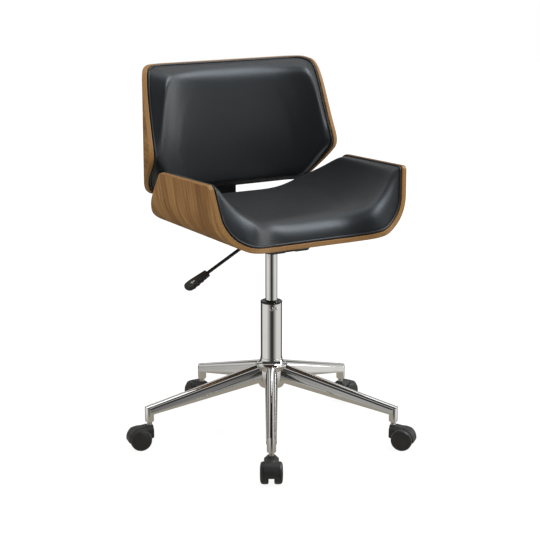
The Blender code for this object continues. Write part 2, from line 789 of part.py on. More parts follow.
def handle_section(t, ring):
    # Points round the grip at a part t of its length: width, thickness and the finger waves on one edge.
    end = max(t - 0.80, 0.0) / 0.20
    width = HANDLE_NECK_WIDTH + (HANDLE_END_WIDTH - HANDLE_NECK_WIDTH) * min(1.6 * t, 1.0) ** 0.9
    width *= math.sqrt(max(1.0 - 0.93 * end * end, 0.02))
    thickness = HANDLE_THICKNESS * (1.0 - 0.22 * t) * math.sqrt(max(1.0 - 0.85 * end ** 4, 0.02))
    wave = HANDLE_WAVE * math.sin(2.0 * math.pi * HANDLE_WAVE_COUNT * t) if 0.25 < t < 0.85 else 0.0
    points = []
    for m in range(ring):
        side, lift = math.cos(2.0 * math.pi * m / ring), math.sin(2.0 * math.pi * m / ring)
        y = 0.5 * width * math.copysign(abs(side) ** 0.7, side)
        z = 0.5 * thickness * math.copysign(abs(lift) ** 0.7, lift)
        if side < -0.3:
            y += wave
        points.append((-HANDLE_START - HANDLE_LENGTH * t, y, z))
    return points


def build_handle(pivot, nylon):
    # A flat grip, wider to its round end, crowned on top, with finger waves along its lower front edge.
    stations, ring = 12, 12
    shape = bmesh.new()
    loops = []
    for t in eased(stations):
        loops.append([shape.verts.new(point) for point in handle_section(t, ring)])
    for first, second in zip(loops[:-1], loops[1:]):
        for m in range(ring):
            n = (m + 1) % ring
            shape.faces.new((first[m], first[n], second[n], second[m]))
    shape.faces.new(loops[0])
    shape.faces.new(list(reversed(loops[-1])))
    grip = to_mesh(shape, "lever_handle")
    grip.transform(Matrix.Rotation(HANDLE_ROLL, 4, "X"))
    deep, out = -HANDLE_START - HANDLE_ROD_DEPTH - EDGE_BREAK, -HANDLE_START + CUT_BEYOND
    bore = rod_mesh("bore", LEVER_ROD_RADIUS + TOUCH_GAP, deep, out, 12, "X")
    grip = combine(grip, [bore], "DIFFERENCE")
    grip.transform(Matrix.Rotation(-LEVER_SLOPE, 4, "Y"))
    piece("lever_handle", grip, nylon, pivot)


def bracket_ends(shape, half):
    # The edges at the bar's two ends, whose corners are rounded.
    ends = []
    for edge in shape.edges:
        first, second = edge.verts
        at_side = abs(abs(first.co.x + second.co.x) / 2.0 - half) < WELD_DISTANCE
        level = abs(first.co.x - second.co.x) < WELD_DISTANCE
        at_top = min(first.co.z, second.co.z) > BRACKET_TOP - WELD_DISTANCE
        at_front = max(first.co.y, second.co.y) < BRACKET_FRONT + WELD_DISTANCE
        if at_side and level and (at_top or at_front):
            ends.append(edge)
    return ends


def build_bracket(parent, steel):
    # A flat bar that runs back under the seat, turns up and stands against the back shell.
    top = SEAT_UNDERSIDE - TOUCH_GAP
    front_face = BACK_OUTER_FACE + TOUCH_GAP
    rear_face = front_face + BRACKET_THICKNESS
    centre = (front_face - BRACKET_BEND, top + BRACKET_BEND)
    outline = [(BRACKET_FRONT, top)]
    outline += arc(centre, BRACKET_BEND, -0.5 * math.pi, 0.0, 6)
    outline += [(front_face, BRACKET_TOP), (rear_face, BRACKET_TOP)]
    outline += list(reversed(arc(centre, BRACKET_BEND + BRACKET_THICKNESS, -0.5 * math.pi, 0.0, 6)))
    outline += [(BRACKET_FRONT, top - BRACKET_THICKNESS)]
    half = 0.5 * BRACKET_WIDTH
    shape = bmesh.new()
    shape.from_mesh(prism("back_bracket", outline, -half, half, "X"))
    ends = bracket_ends(shape, half)
    bmesh.ops.bevel(shape, geom=ends, offset=BRACKET_CORNER, segments=4, profile=0.5, affect="EDGES")
    bar = to_mesh(shape, "back_bracket")
    low, high = front_face - CUT_BEYOND, rear_face + CUT_BEYOND
    holes = [back_bolt_hole(height, low, high) for height in BACK_BOLT_HEIGHTS]
    piece("back_bracket", combine(bar, holes, "DIFFERENCE"), steel, parent)
    for number, height in enumerate(BACK_BOLT_HEIGHTS, 1):
        name = f"back_bolt_{number}"
        bolt = hex_bolt(name, BRACKET_THICKNESS + PLY_THICKNESS - EDGE_BREAK)
        piece(name, bolt, steel, parent, (0.0, rear_face + TOUCH_GAP, height), (math.pi / 2, 0.0, 0.0))


# Gas column

def sleeve_bottom():
    return HUB_BOTTOM + SLEEVE_LIFT


def build_sleeve(parent, chrome, nylon):
    inner, outer = SLEEVE_RADIUS - SLEEVE_WALL, SLEEVE_RADIUS
    bottom = sleeve_bottom()
    floor = bottom + SLEEVE_FLOOR
    hole = ROD_RADIUS + 2.0 * RUNNING_GAP
    profile = [
        (hole, bottom),
        (outer - EDGE_BREAK, bottom),
        (outer, bottom + EDGE_BREAK),
        (outer, SLEEVE_TOP),
        (inner, SLEEVE_TOP),
        (inner, floor),
        (hole, floor),
    ]
    piece("column_sleeve", lathe("column_sleeve", profile, 32), chrome, parent)
    low = SLEEVE_TOP - BUSHING_LENGTH
    outside, inside = inner - TOUCH_GAP, TUBE_RADIUS + RUNNING_GAP
    flange = outer + BUSHING_PROUD
    seat = SLEEVE_TOP + TOUCH_GAP
    profile = [
        (inside, low),
        (outside, low),
        (outside, seat),
        (flange, seat),
        (flange, seat + 0.7 * BUSHING_FLANGE),
        (flange - 0.3 * BUSHING_FLANGE, seat + BUSHING_FLANGE),
        (inside, seat + BUSHING_FLANGE),
    ]
    piece("column_bushing", lathe("column_bushing", profile, 32), nylon, parent)
    return floor


def build_bearing(sleeve_floor, base, turning, steel):
    bore = ROD_RADIUS + RUNNING_GAP
    low = sleeve_floor + TOUCH_GAP
    ball_middle = low + RACE_THICKNESS + RUNNING_GAP + BALL_RADIUS
    upper_low = ball_middle + BALL_RADIUS + RUNNING_GAP
    for name, start, owner in (("bearing_lower_race", low, base), ("bearing_upper_race", upper_low, turning)):
        profile = tube_profile(bore, RACE_RADIUS, start, start + RACE_THICKNESS)
        piece(name, lathe(name, profile, 24), steel, owner)
    half = 0.5 * BALL_RADIUS
    inner, outer = BALL_CIRCLE - CAGE_HALF_WIDTH, BALL_CIRCLE + CAGE_HALF_WIDTH
    profile = tube_profile(inner, outer, ball_middle - half, ball_middle + half)
    cage = lathe("bearing_ball_cage", profile, 24)
    balls = []
    for k in range(BALL_COUNT):
        shape = bmesh.new()
        bmesh.ops.create_uvsphere(shape, u_segments=6, v_segments=4, radius=BALL_RADIUS)
        turn = 2.0 * math.pi * (k + 0.5) / BALL_COUNT
        ball = to_mesh(shape, "ball")
        balls.append(moved(ball, BALL_CIRCLE * math.cos(turn), BALL_CIRCLE * math.sin(turn), ball_middle))
    piece("bearing_ball_cage", combine(cage, balls, "UNION"), steel, turning)
    return upper_low + RACE_THICKNESS


def seal_bottom():
    return TUBE_BOTTOM + EDGE_BREAK


def build_piston_rod(bearing_top, turning, steel, rubber):
    collar_low = bearing_top + TOUCH_GAP
    collar_high = collar_low + ROD_COLLAR_HEIGHT
    clip_top = sleeve_bottom() - TOUCH_GAP
    clip_low = clip_top - CLIP_THICKNESS
    rod_low = clip_low - EDGE_BREAK
    piston_low = seal_bottom() + SEAL_LENGTH + RUNNING_GAP
    rod_top = piston_low + PISTON_LENGTH
    profile = [
        (0.0, rod_low),
        (ROD_RADIUS, rod_low),
        (ROD_RADIUS, collar_low),
        (ROD_COLLAR_RADIUS, collar_low),
        (ROD_COLLAR_RADIUS, collar_high),
        (ROD_RADIUS, collar_high + ROD_COLLAR_SLOPE),
        (ROD_RADIUS, rod_top),
        (0.0, rod_top),
    ]
    piece("piston_rod", lathe("piston_rod", profile, 20), steel, turning)
    bore = ROD_RADIUS + TOUCH_GAP
    clip = lathe("rod_clip", tube_profile(bore, ROD_COLLAR_RADIUS, clip_low, clip_top), 24)
    half, beyond = 0.5 * CLIP_MOUTH, 2.0 * ROD_COLLAR_RADIUS
    mouth = box("mouth", (0.0, -half, clip_low - CUT_BEYOND), (beyond, half, clip_top + CUT_BEYOND))
    piece("rod_clip", combine(clip, [mouth], "DIFFERENCE"), steel, turning)
    outside = TUBE_RADIUS - TUBE_WALL - RUNNING_GAP
    third = PISTON_LENGTH / 3.0
    profile = [
        (bore, piston_low),
        (outside, piston_low),
        (outside, piston_low + third),
        (outside - PISTON_GROOVE_DEPTH, piston_low + third + PISTON_GROOVE_DEPTH),
        (outside, piston_low + third + 2.0 * PISTON_GROOVE_DEPTH),
        (outside, rod_top - EDGE_BREAK),
        (bore, rod_top - EDGE_BREAK),
    ]
    piece("piston", lathe("piston", profile, 20), rubber, turning)


def build_pressure_tube(parent, chrome, rubber):
    outer, bore = TUBE_RADIUS, TUBE_RADIUS - TUBE_WALL
    pin_bore = PIN_RADIUS + RUNNING_GAP
    top = tube_top()
    pin_floor = pin_top() - PIN_LENGTH - PIN_TRAVEL
    profile = [
        (0.0, TUBE_BORE_TOP),
        (bore, TUBE_BORE_TOP),
        (bore, TUBE_BOTTOM),
        (outer - 0.5 * EDGE_BREAK, TUBE_BOTTOM),
        (outer, TUBE_BOTTOM + 0.5 * EDGE_BREAK),
        (outer, top - EDGE_BREAK),
        (outer - EDGE_BREAK, top),
        (pin_bore, top),
        (pin_bore, pin_floor),
        (0.0, pin_floor),
    ]
    piece("pressure_tube", lathe("pressure_tube", profile, 28), chrome, parent)
    inside, outside = ROD_RADIUS + RUNNING_GAP, bore - TOUCH_GAP
    profile = tube_profile(inside, outside, seal_bottom(), seal_bottom() + SEAL_LENGTH)
    piece("tube_seal", lathe("tube_seal", profile, 24), rubber, parent)


def build_release_pin(parent, steel):
    top = pin_top()
    low = top - PIN_LENGTH
    profile = [
        (0.0, low),
        (PIN_RADIUS, low),
        (PIN_RADIUS, top - EDGE_BREAK),
        (PIN_RADIUS - EDGE_BREAK, top),
        (0.0, top),
    ]
    piece("release_pin", lathe("release_pin", profile, 16), steel, parent)


# Base

def build_hub(parent, chrome):
    bore = SLEEVE_RADIUS + TOUCH_GAP
    low, lip = HUB_BOTTOM, HUB_LIP_HEIGHT
    flare, rise = HUB_LIP_RADIUS - HUB_RADIUS, HUB_SHOULDER_HEIGHT - lip
    throat = HUB_LIP_RADIUS - 2.0 * HUB_LIP_EDGE - bore
    quarter = [0.5 * math.pi * k / 4 for k in range(5)]
    profile = [(bore, low), (HUB_RADIUS - 0.67 * HUB_FOOT, low), (HUB_RADIUS, low + HUB_FOOT)]
    for turn in quarter:
        height = lip - HUB_LIP_FLARE + (HUB_LIP_FLARE - HUB_LIP_EDGE) * math.sin(turn)
        profile.append((HUB_RADIUS + flare * (1.0 - math.cos(turn)), height))
    profile += [(HUB_LIP_RADIUS, lip), (HUB_LIP_RADIUS - HUB_LIP_EDGE, lip + 0.4 * HUB_LIP_EDGE)]
    for turn in quarter:
        radius = bore + 0.4 * HUB_LIP_EDGE + throat * (1.0 - math.sin(turn))
        profile.append((radius, lip + rise * (1.0 - math.cos(turn))))
    profile.append((bore, HUB_SHOULDER_HEIGHT))
    piece("base_hub", lathe("base_hub", profile, 36), chrome, parent)


def leg_section(x, top, bottom, half_width, inset):
    # One cross-section of the leg, an upside-down U with straight sides and a tall round top.
    half = half_width - inset
    arch = LEG_ARCH * half
    points = [(x, -half, bottom)]
    for k in range(11):
        turn = math.pi * (1.0 - k / 10)
        points.append((x, half * math.cos(turn), top - inset - arch + arch * math.sin(turn)))
    points.append((x, half, bottom))
    return points


def leg_envelope(name, start, end, inset, floor_drop):
    # The leg's outer form, or with an inset the hollow inside it, between two distances from the column.
    root, tip = 0.8 * HUB_RADIUS, LEG_REACH + 0.5 * LEG_TIP_WIDTH

    def at(x):
        t = (x - HUB_RADIUS) / (tip - HUB_RADIUS)
        top = LEG_ROOT_TOP + (LEG_TIP_TOP - LEG_ROOT_TOP) * t
        bottom = LEG_ROOT_BOTTOM + (LEG_TIP_BOTTOM - LEG_ROOT_BOTTOM) * t
        half = 0.5 * (LEG_ROOT_WIDTH + (LEG_TIP_WIDTH - LEG_ROOT_WIDTH) * t)
        return leg_section(x, top, bottom - floor_drop, half, inset)

    shape = bmesh.new()
    rims = [[shape.verts.new(point) for point in at(x)] for x in (max(start, root), end)]
    count = len(rims[0])
    for k in range(count):
        n = (k + 1) % count
        shape.faces.new((rims[0][k], rims[0][n], rims[1][n], rims[1][k]))
    shape.faces.new(rims[0])
    shape.faces.new(list(reversed(rims[1])))
    return to_mesh(shape, name)


def leg_socket(radius):
    # The round boss at the leg's tip that takes the caster's stem, cut to the leg's own top.
    top = LEG_ROOT_TOP
    profile = [
        (0.0, SOCKET_BOTTOM),
        (radius - SOCKET_CHAMFER, SOCKET_BOTTOM),
        (radius, SOCKET_BOTTOM + SOCKET_CHAMFER),
        (radius, top),
        (0.0, top),
    ]
    boss = moved(lathe("socket", profile, 24), LEG_REACH, 0.0, 0.0)
    start, end = LEG_REACH - 2.0 * radius, LEG_REACH + 2.0 * radius
    cap = leg_envelope("cap", start, end, -TOUCH_GAP, LEG_TIP_BOTTOM - 0.5 * SOCKET_BOTTOM)
    return combine(boss, [cap], "INTERSECT")


def hub_clearance():
    # The space that the hub and its lip take up, which the leg's root is cut to.
    wall, lip = HUB_RADIUS + TOUCH_GAP, HUB_LIP_RADIUS + TOUCH_GAP
    low, high = HUB_BOTTOM - CUT_BEYOND, HUB_SHOULDER_HEIGHT + CUT_BEYOND
    profile = [
        (0.0, low),
        (wall, low),
        (wall, HUB_LIP_HEIGHT - HUB_LIP_FLARE - 0.5 * TOUCH_GAP),
        (lip, HUB_LIP_HEIGHT - 4.0 * HUB_LIP_EDGE),
        (lip, high),
        (0.0, high),
    ]
    return lathe("clearance", profile, 40)


def leg_mesh():
    # Pressed channel welded to the hub, with the caster's socket at its tip.
    tip_radius = 0.5 * LEG_TIP_WIDTH
    root, end = 0.8 * HUB_RADIUS, LEG_REACH - tip_radius - LEG_END_WALL
    channel = leg_envelope("base_leg", root, LEG_REACH, 0.0, 0.0)
    hollow = leg_envelope("hollow", root, end, LEG_WALL, 2.0 * CUT_BEYOND)
    channel = combine(channel, [hollow], "DIFFERENCE")
    leg = combine(channel, [leg_socket(tip_radius)], "UNION")
    low, high = SOCKET_BOTTOM - CUT_BEYOND, SOCKET_BOTTOM + SOCKET_BORE_DEPTH
    bore = moved(rod_mesh("bore", STEM_GRIP_RADIUS + RUNNING_GAP, low, high, 16), LEG_REACH, 0.0, 0.0)
    return combine(leg, [bore, hub_clearance()], "DIFFERENCE")


# Casters

def hood_body():
    # Side view of the hood, run across its width and then cut to its front view.
    outer = WHEEL_RADIUS + HOOD_WHEEL_GAP + HOOD_WALL
    axle = (CASTER_TRAIL, WHEEL_RADIUS)
    side = [(-NECK_RADIUS, HOOD_FRONT_LOW), (-NECK_RADIUS, HOOD_TOP), (1.3 * NECK_RADIUS, HOOD_TOP)]
    side += arc(axle, outer, math.radians(98.0), math.radians(-8.0), 11)
    side += arc(axle, HOOD_EAR_RADIUS, math.radians(-28.0), math.radians(-152.0), 5)
    side += [(CASTER_TRAIL - outer + 2.0 * TOUCH_GAP, HOOD_FRONT_LOW - HOOD_WALL)]
    half = 0.5 * HOOD_WIDTH
    body = prism("caster_hood", side, -half, half, "Y")
    wide, shoulder_height = half + 0.5 * EDGE_BREAK, HOOD_TOP - HOOD_SHOULDER
    front = [
        (-NECK_RADIUS, HOOD_TOP + EDGE_BREAK),
        (-wide, shoulder_height),
        (-wide, 0.0),
        (wide, 0.0),
        (wide, shoulder_height),
        (NECK_RADIUS, HOOD_TOP + EDGE_BREAK),
    ]
    envelope = prism("envelope", front, -2.0 * outer, CASTER_TRAIL + 2.0 * outer, "X")
    return combine(body, [envelope], "INTERSECT")


def hood_mesh():
    # Local frame: the swivel axis is Z, the wheels trail along +X and turn about Y.
    web, beyond = 0.5 * WHEEL_GAP - RUNNING_GAP, CASTER_WIDTH
    cuts = []
    for start, end in ((-beyond, -web), (web, beyond)):
        well = rod_mesh("well", WHEEL_RADIUS + HOOD_WHEEL_GAP, start, end, 24, "Y")
        cuts.append(moved(well, CASTER_TRAIL, 0.0, WHEEL_RADIUS))
    axle_hole = rod_mesh("axle_hole", AXLE_RADIUS + TOUCH_GAP, -beyond, beyond, 12, "Y")
    cuts.append(moved(axle_hole, CASTER_TRAIL, 0.0, WHEEL_RADIUS))
    low = HOOD_TOP - STEM_DEPTH_IN_HOOD - TOUCH_GAP
    cuts.append(rod_mesh("stem_hole", STEM_RADIUS + TOUCH_GAP, low, HOOD_TOP + CUT_BEYOND, 16))
    return combine(hood_body(), cuts, "DIFFERENCE")


def wheel_mesh():
    # Local frame: turns about Z, the inner face at half the wheel gap, the domed cap outwards.
    inner, outer = 0.5 * WHEEL_GAP, 0.5 * CASTER_WIDTH
    segments = 24
    tread = WHEEL_RADIUS / math.cos(math.pi / segments)
    bore = AXLE_RADIUS + RUNNING_GAP
    shoulder_depth = WHEEL_SHOULDER
    profile = [
        (0.0, outer - WHEEL_CAP_DEPTH),
        (bore, outer - WHEEL_CAP_DEPTH),
        (bore, inner),
        (tread - WHEEL_INNER_ROUND, inner),
        (tread, inner + WHEEL_INNER_ROUND),
        (tread, outer - shoulder_depth),
        (tread - 0.30 * shoulder_depth, outer - 0.47 * shoulder_depth),
        (tread - 0.83 * shoulder_depth, outer - 0.20 * shoulder_depth),
        (0.0, outer),
    ]
    return lathe("wheel", profile, segments, math.pi / segments)


def stem_mesh():
    # Steel stem: pressed into the hood, a flange under the socket and a grip ring inside it.
    collar = HOOD_TOP + TOUCH_GAP
    flange = SOCKET_BOTTOM - TOUCH_GAP
    top = SOCKET_BOTTOM + SOCKET_BORE_DEPTH - 3.0 * EDGE_BREAK
    low = HOOD_TOP - STEM_DEPTH_IN_HOOD
    grip_high = top - 4.5 * EDGE_BREAK
    grip_low = grip_high - STEM_GRIP_LENGTH
    slope = STEM_GRIP_RADIUS - STEM_RADIUS
    profile = [
        (0.0, low),
        (STEM_RADIUS, low),
        (STEM_RADIUS, collar),
        (STEM_FLANGE_RADIUS, collar),
        (STEM_FLANGE_RADIUS, collar + STEM_FLANGE_THICKNESS),
        (STEM_RADIUS, collar + STEM_FLANGE_THICKNESS),
        (STEM_RADIUS, flange - STEM_FLANGE_THICKNESS),
        (STEM_FLANGE_RADIUS, flange - STEM_FLANGE_THICKNESS),
        (STEM_FLANGE_RADIUS, flange),
        (STEM_RADIUS, flange),
        (STEM_RADIUS, grip_low - slope),
        (STEM_GRIP_RADIUS, grip_low),
        (STEM_GRIP_RADIUS, grip_high),
        (STEM_RADIUS, grip_high + slope),
        (STEM_RADIUS - EDGE_BREAK, top),
        (0.0, top),
    ]
    return lathe("stem", profile, 12)


def leg_turn(k):
    return BASE_TURN + 2.0 * math.pi * k / LEG_COUNT - 0.5 * math.pi


def build_casters(base, steel, nylon):
    half = 0.5 * CASTER_WIDTH - AXLE_END_INSET
    stem, hood, wheel = stem_mesh(), hood_mesh(), wheel_mesh()
    axle = rod_mesh("axle", AXLE_RADIUS, -half, half, 12)
    for k in range(LEG_COUNT):
        turn, name = leg_turn(k), f"caster_{k + 1}"
        place = (LEG_REACH * math.cos(turn), LEG_REACH * math.sin(turn), 0.0)
        swivel = empty(f"{name}_swivel", base, place, (0.0, 0.0, turn))
        piece(f"{name}_stem", stem, steel, swivel)
        piece(f"{name}_hood", hood, nylon, swivel)
        centre = (CASTER_TRAIL, 0.0, WHEEL_RADIUS)
        piece(f"{name}_axle", axle, steel, swivel, centre, (math.pi / 2, 0.0, 0.0))
        piece(f"{name}_wheel_left", wheel, nylon, swivel, centre, (math.pi / 2, 0.0, 0.0))
        piece(f"{name}_wheel_right", wheel, nylon, swivel, centre, (-math.pi / 2, 0.0, 0.0))


def build_legs(base, chrome):
    leg = leg_mesh()
    for k in range(LEG_COUNT):
        piece(f"base_leg_{k + 1}", leg, chrome, base, (0.0, 0.0, 0.0), (0.0, 0.0, leg_turn(k)))


def build_chair():
    clear_scene()
    wood = finish("walnut_ply", (0.20, 0.105, 0.05), 0.35, 0.0)
    leather = finish("black_leather", (0.02, 0.022, 0.025), 0.38, 0.0)
    chrome = finish("chrome", (0.75, 0.75, 0.73), 0.10, 1.0)
    steel = finish("black_steel", (0.02, 0.02, 0.02), 0.40, 0.5)
    bright = finish("plated_steel", (0.60, 0.60, 0.60), 0.30, 1.0)
    nylon = finish("black_nylon", (0.03, 0.03, 0.03), 0.45, 0.0)
    rubber = finish("seal_rubber", (0.04, 0.04, 0.04), 0.70, 0.0)

    base = empty("base", None, (COLUMN_X, COLUMN_Y, 0.0))
    turning = empty("column_swivel", base)
    seat = empty("column_lift", turning)
    pivot = empty("lever_pivot", seat, (-HOUSING_HALF_WIDTH + 0.5 * HOUSING_WALL, 0.0, LEVER_PIVOT_HEIGHT))

    build_hub(base, chrome)
    build_legs(base, chrome)
    build_casters(base, bright, nylon)
    sleeve_floor = build_sleeve(base, chrome, nylon)
    bearing_top = build_bearing(sleeve_floor, base, turning, bright)
    build_piston_rod(bearing_top, turning, bright, rubber)
    build_pressure_tube(seat, chrome, rubber)
    build_release_pin(seat, bright)
    build_column_socket(seat, steel)
    build_housing(seat, steel)
    build_seat_plate(seat, steel)
    build_lever(pivot, steel, nylon)
    build_bracket(seat, steel)
    build_seat(seat, wood, leather)
    build_back(seat, wood, leather)


build_chair()
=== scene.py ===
from math import copysign, cos, pi, radians, sin, sqrt

import bmesh
import bpy
from mathutils import Matrix, Vector
from mathutils.bvhtree import BVHTree


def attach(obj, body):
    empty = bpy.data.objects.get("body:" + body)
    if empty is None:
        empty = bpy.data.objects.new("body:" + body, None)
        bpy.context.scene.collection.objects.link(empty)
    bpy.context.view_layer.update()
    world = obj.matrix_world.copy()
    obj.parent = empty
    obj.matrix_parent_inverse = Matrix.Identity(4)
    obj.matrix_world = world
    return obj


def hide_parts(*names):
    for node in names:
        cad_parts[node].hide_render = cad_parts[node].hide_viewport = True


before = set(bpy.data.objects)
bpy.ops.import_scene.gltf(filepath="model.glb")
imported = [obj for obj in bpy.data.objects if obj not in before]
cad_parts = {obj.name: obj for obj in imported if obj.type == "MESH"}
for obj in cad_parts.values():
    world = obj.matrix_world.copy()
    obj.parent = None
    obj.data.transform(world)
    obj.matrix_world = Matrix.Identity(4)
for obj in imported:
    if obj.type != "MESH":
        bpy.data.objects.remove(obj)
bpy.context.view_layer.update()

axisX, axisY = 0.0088, -0.0199  # the column's axis on the floor
seatLevel, backPlace = 0.4915, 0.225  # underside of the seat shell, rear face of the back shell
seatHome = Matrix.Translation((axisX, axisY, 0.0))


# Camera, floor and light

def inScene(name, data):
    obj = bpy.data.objects.new(name, data)
    bpy.context.scene.collection.objects.link(obj)
    return obj


view = {
    "focal": 1563.5, "frame": 540.0, "distance": 3.630, "elevation": 13.64, "azimuth": -30.5,
    "right": -0.0032, "height": 0.4019,
}


def makeCamera():
    up, turn = radians(view["elevation"]), radians(view["azimuth"])
    back = Vector((sin(turn) * cos(up), -cos(turn) * cos(up), sin(up)))
    right = Vector((cos(turn), sin(turn), 0.0))
    eye = Vector((axisX, axisY, view["height"])) + right * view["right"] + back * view["distance"]
    data = bpy.data.cameras.new("camera")
    data.sensor_width = 36.0
    data.lens = view["focal"] / view["frame"] * data.sensor_width
    data.clip_end = 50.0
    camera = inScene("camera", data)
    turned = Matrix((right, back.cross(right), back)).transposed().to_4x4()
    camera.matrix_world = Matrix.Translation(eye) @ turned
    bpy.context.scene.camera = camera


lamps = {  # place, height that it looks at, size, power, tint
    "keyLight": ((1.42, -1.2, 2.5), 0.6, (2.8, 1.15), 68.0, (0.94, 0.97, 1.0)),
    "topLight": ((0.0, 0.2, 2.9), 0.7, (2.6, 1.6), 20.0, (1.0, 1.0, 1.0)),
    "leftLight": ((-2.4, -0.6, 1.5), 0.55, (1.2, 2.0), 27.0, (1.0, 0.98, 0.95)),
    "rightLight": ((2.3, -0.4, 0.9), 0.5, (0.6, 1.8), 12.0, (1.0, 1.0, 1.0)),
}


def makeLamps():
    for name, (place, height, size, power, tint) in lamps.items():
        data = bpy.data.lights.new(name, "AREA")
        data.shape = "RECTANGLE"
        data.size, data.size_y = size
        data.energy, data.color = power, tint
        lamp = inScene(name, data)
        lamp.location = place
        lamp.rotation_euler = (Vector((0.0, 0.0, height)) - Vector(place)).to_track_quat("-Z", "Y").to_euler()
        lamp.visible_glossy = name != "leftLight"  # that one would leave a patch on the leather


def feed(node, values):
    for key, value in values.items():
        if isinstance(value, bpy.types.NodeSocket):
            node.id_data.links.new(value, node.inputs[key])
        else:
            node.inputs[key].default_value = value


def put(tree, kind, values=None, **settings):
    # Adds a node and returns its outputs; a kind without the word Node is short for a shader node's
    node = tree.nodes.new(kind if "Node" in kind else "ShaderNode" + kind)
    for key, value in settings.items():
        setattr(node, key, value)
    feed(node, values or {})
    return node.outputs


def treeOf(*values):
    return next(value.id_data for value in values if isinstance(value, bpy.types.NodeSocket))


def maths(operation, *values, kind="Math"):
    return put(treeOf(*values), kind, dict(enumerate(values)), operation=operation)[0]


def scaled(value, factor, more=0.0):
    return maths("MULTIPLY_ADD", value, factor, more)


def sloped(value, low, high, start=0.0, end=1.0, **settings):
    # Goes from start to end while the value goes from low to high
    values = dict(enumerate((value, low, high, start, end)))
    return put(value.id_data, "MapRange", values, **settings)[0]


def between(value, low, high, soft):
    # 1 from low to high, fading out over a soft edge
    rise = sloped(value, low - soft, low + soft)
    return scaled(rise, sloped(value, high - soft, high + soft, 1.0, 0.0))


def noise(place, scale, detail, distortion=0.0, roughness=0.5):
    values = {"Vector": place, "Scale": scale, "Detail": detail, "Roughness": roughness}
    return put(place.id_data, "TexNoise", {**values, "Distortion": distortion})[0]


def colourRamp(value, stops):
    out = put(value.id_data, "ValToRGB", {0: value})[0]
    elements = out.node.color_ramp.elements
    while len(elements) < len(stops):
        elements.new(0.5)
    for stop, (at, colour) in zip(elements, stops):
        stop.position = at
        stop.color = colour + (1.0,)
    return out


def solid(colour):
    return colour + (1.0,) if isinstance(colour, tuple) else colour


def mixColour(amount, first, second):
    values = {0: amount, 6: solid(first), 7: solid(second)}
    return put(amount.id_data, "Mix", values, data_type="RGBA")[2]


def mixShader(share, first, second):
    return put(share.id_data, "MixShader", {0: share, 1: first, 2: second})[0]


def glow(tree, kind, colour, strength):
    return put(tree, kind, {"Color": solid(colour), "Strength": strength})[0]


def objectPlace(tree):
    return put(tree, "TexCoord")["Object"]


def newMaterial(name):
    material = bpy.data.materials.new(name)
    material.use_nodes = True
    tree = material.node_tree
    tree.nodes.clear()
    shader = tree.nodes.new("ShaderNodeBsdfPrincipled")
    put(tree, "OutputMaterial", {0: shader.outputs[0]})
    return material, tree, shader


studio = {
    "soft": 0.56,  # even light on the object, shared out by height
    "sky": ((0.0, 0.82), (0.47, 0.70), (0.52, 0.30), (0.62, 0.42), (0.80, 0.75), (1.0, 0.95)),
    "offset": 6.0,  # the room's turn from the camera's, and the room's levels
    "dark": 0.045, "side": 0.74, "backdrop": 0.62, "line": 0.60, "roomColour": (1.0, 0.985, 0.96),
    "front": (0.55, 0.97), "behind": (-0.64, -0.36), "low": (-2.0, 0.06, 0.06),  # where the sides fade out
    "panels": ((0.06, 0.27, 0.04), (0.46, 0.82, 0.06)), "panelsFrom": (-2.0, -0.25, 0.15),
    "lineAt": (0.60, 0.72, 0.03), "lineFrom": (-0.15, 2.0, 0.1),
    "table": 0.50, "tableColour": (0.36, 0.33, 0.275), "tableEdge": 0.05,  # what polish sees below it
    "white": 1.10, "floorShadow": 0.16, "shadowFade": (0.40, 0.75),
}


def makeWorld():
    # Even soft light for the object, and for its polish a dark room with side panels, a backdrop and a line
    world = bpy.data.worlds.new("studio")
    bpy.context.scene.world = world
    world.use_nodes = True
    tree = world.node_tree
    tree.nodes.clear()
    away = put(tree, "TexCoord")["Generated"]
    axes = put(tree, "SeparateXYZ", {0: away})
    up = axes["Z"]
    sky = [(at, (level, level, level * 1.01)) for at, level in studio["sky"]]
    soft = glow(tree, "Background", colourRamp(scaled(up, 0.5, 0.5), sky), studio["soft"])

    # How far a ray points at the camera's side, on the level
    turn = radians(view["azimuth"] + studio["offset"])
    towards = scaled(axes["Y"], -cos(turn), scaled(axes["X"], sin(turn)))
    flat = maths("MAXIMUM", maths("SUBTRACT", 1.0, scaled(up, up)), 0.0001)
    facing = maths("DIVIDE", towards, maths("SQRT", flat))
    front = maths("POWER", sloped(facing, *studio["front"], 1.0, 0.0), 0.6)
    sides = scaled(front, sloped(facing, *studio["behind"]))
    sides = scaled(sides, between(up, *studio["low"]))
    panels = maths("ADD", *[between(up, *panel) for panel in studio["panels"]])
    backdrop = scaled(panels, between(facing, *studio["panelsFrom"]))
    line = scaled(between(up, *studio["lineAt"]), between(facing, *studio["lineFrom"]))
    level = studio["dark"]
    for part, name in ((sides, "side"), (backdrop, "backdrop"), (line, "line")):
        level = scaled(part, studio[name], level)
    room = glow(tree, "Background", studio["roomColour"], level)
    plain = glow(tree, "Background", (1.0, 1.0, 1.0), 1.0)
    path = put(tree, "LightPath")
    lit = mixShader(path["Is Glossy Ray"], soft, room)
    through = maths("MAXIMUM", path["Is Camera Ray"], path["Is Transmission Ray"])
    put(tree, "OutputWorld", {0: mixShader(through, lit, plain)})


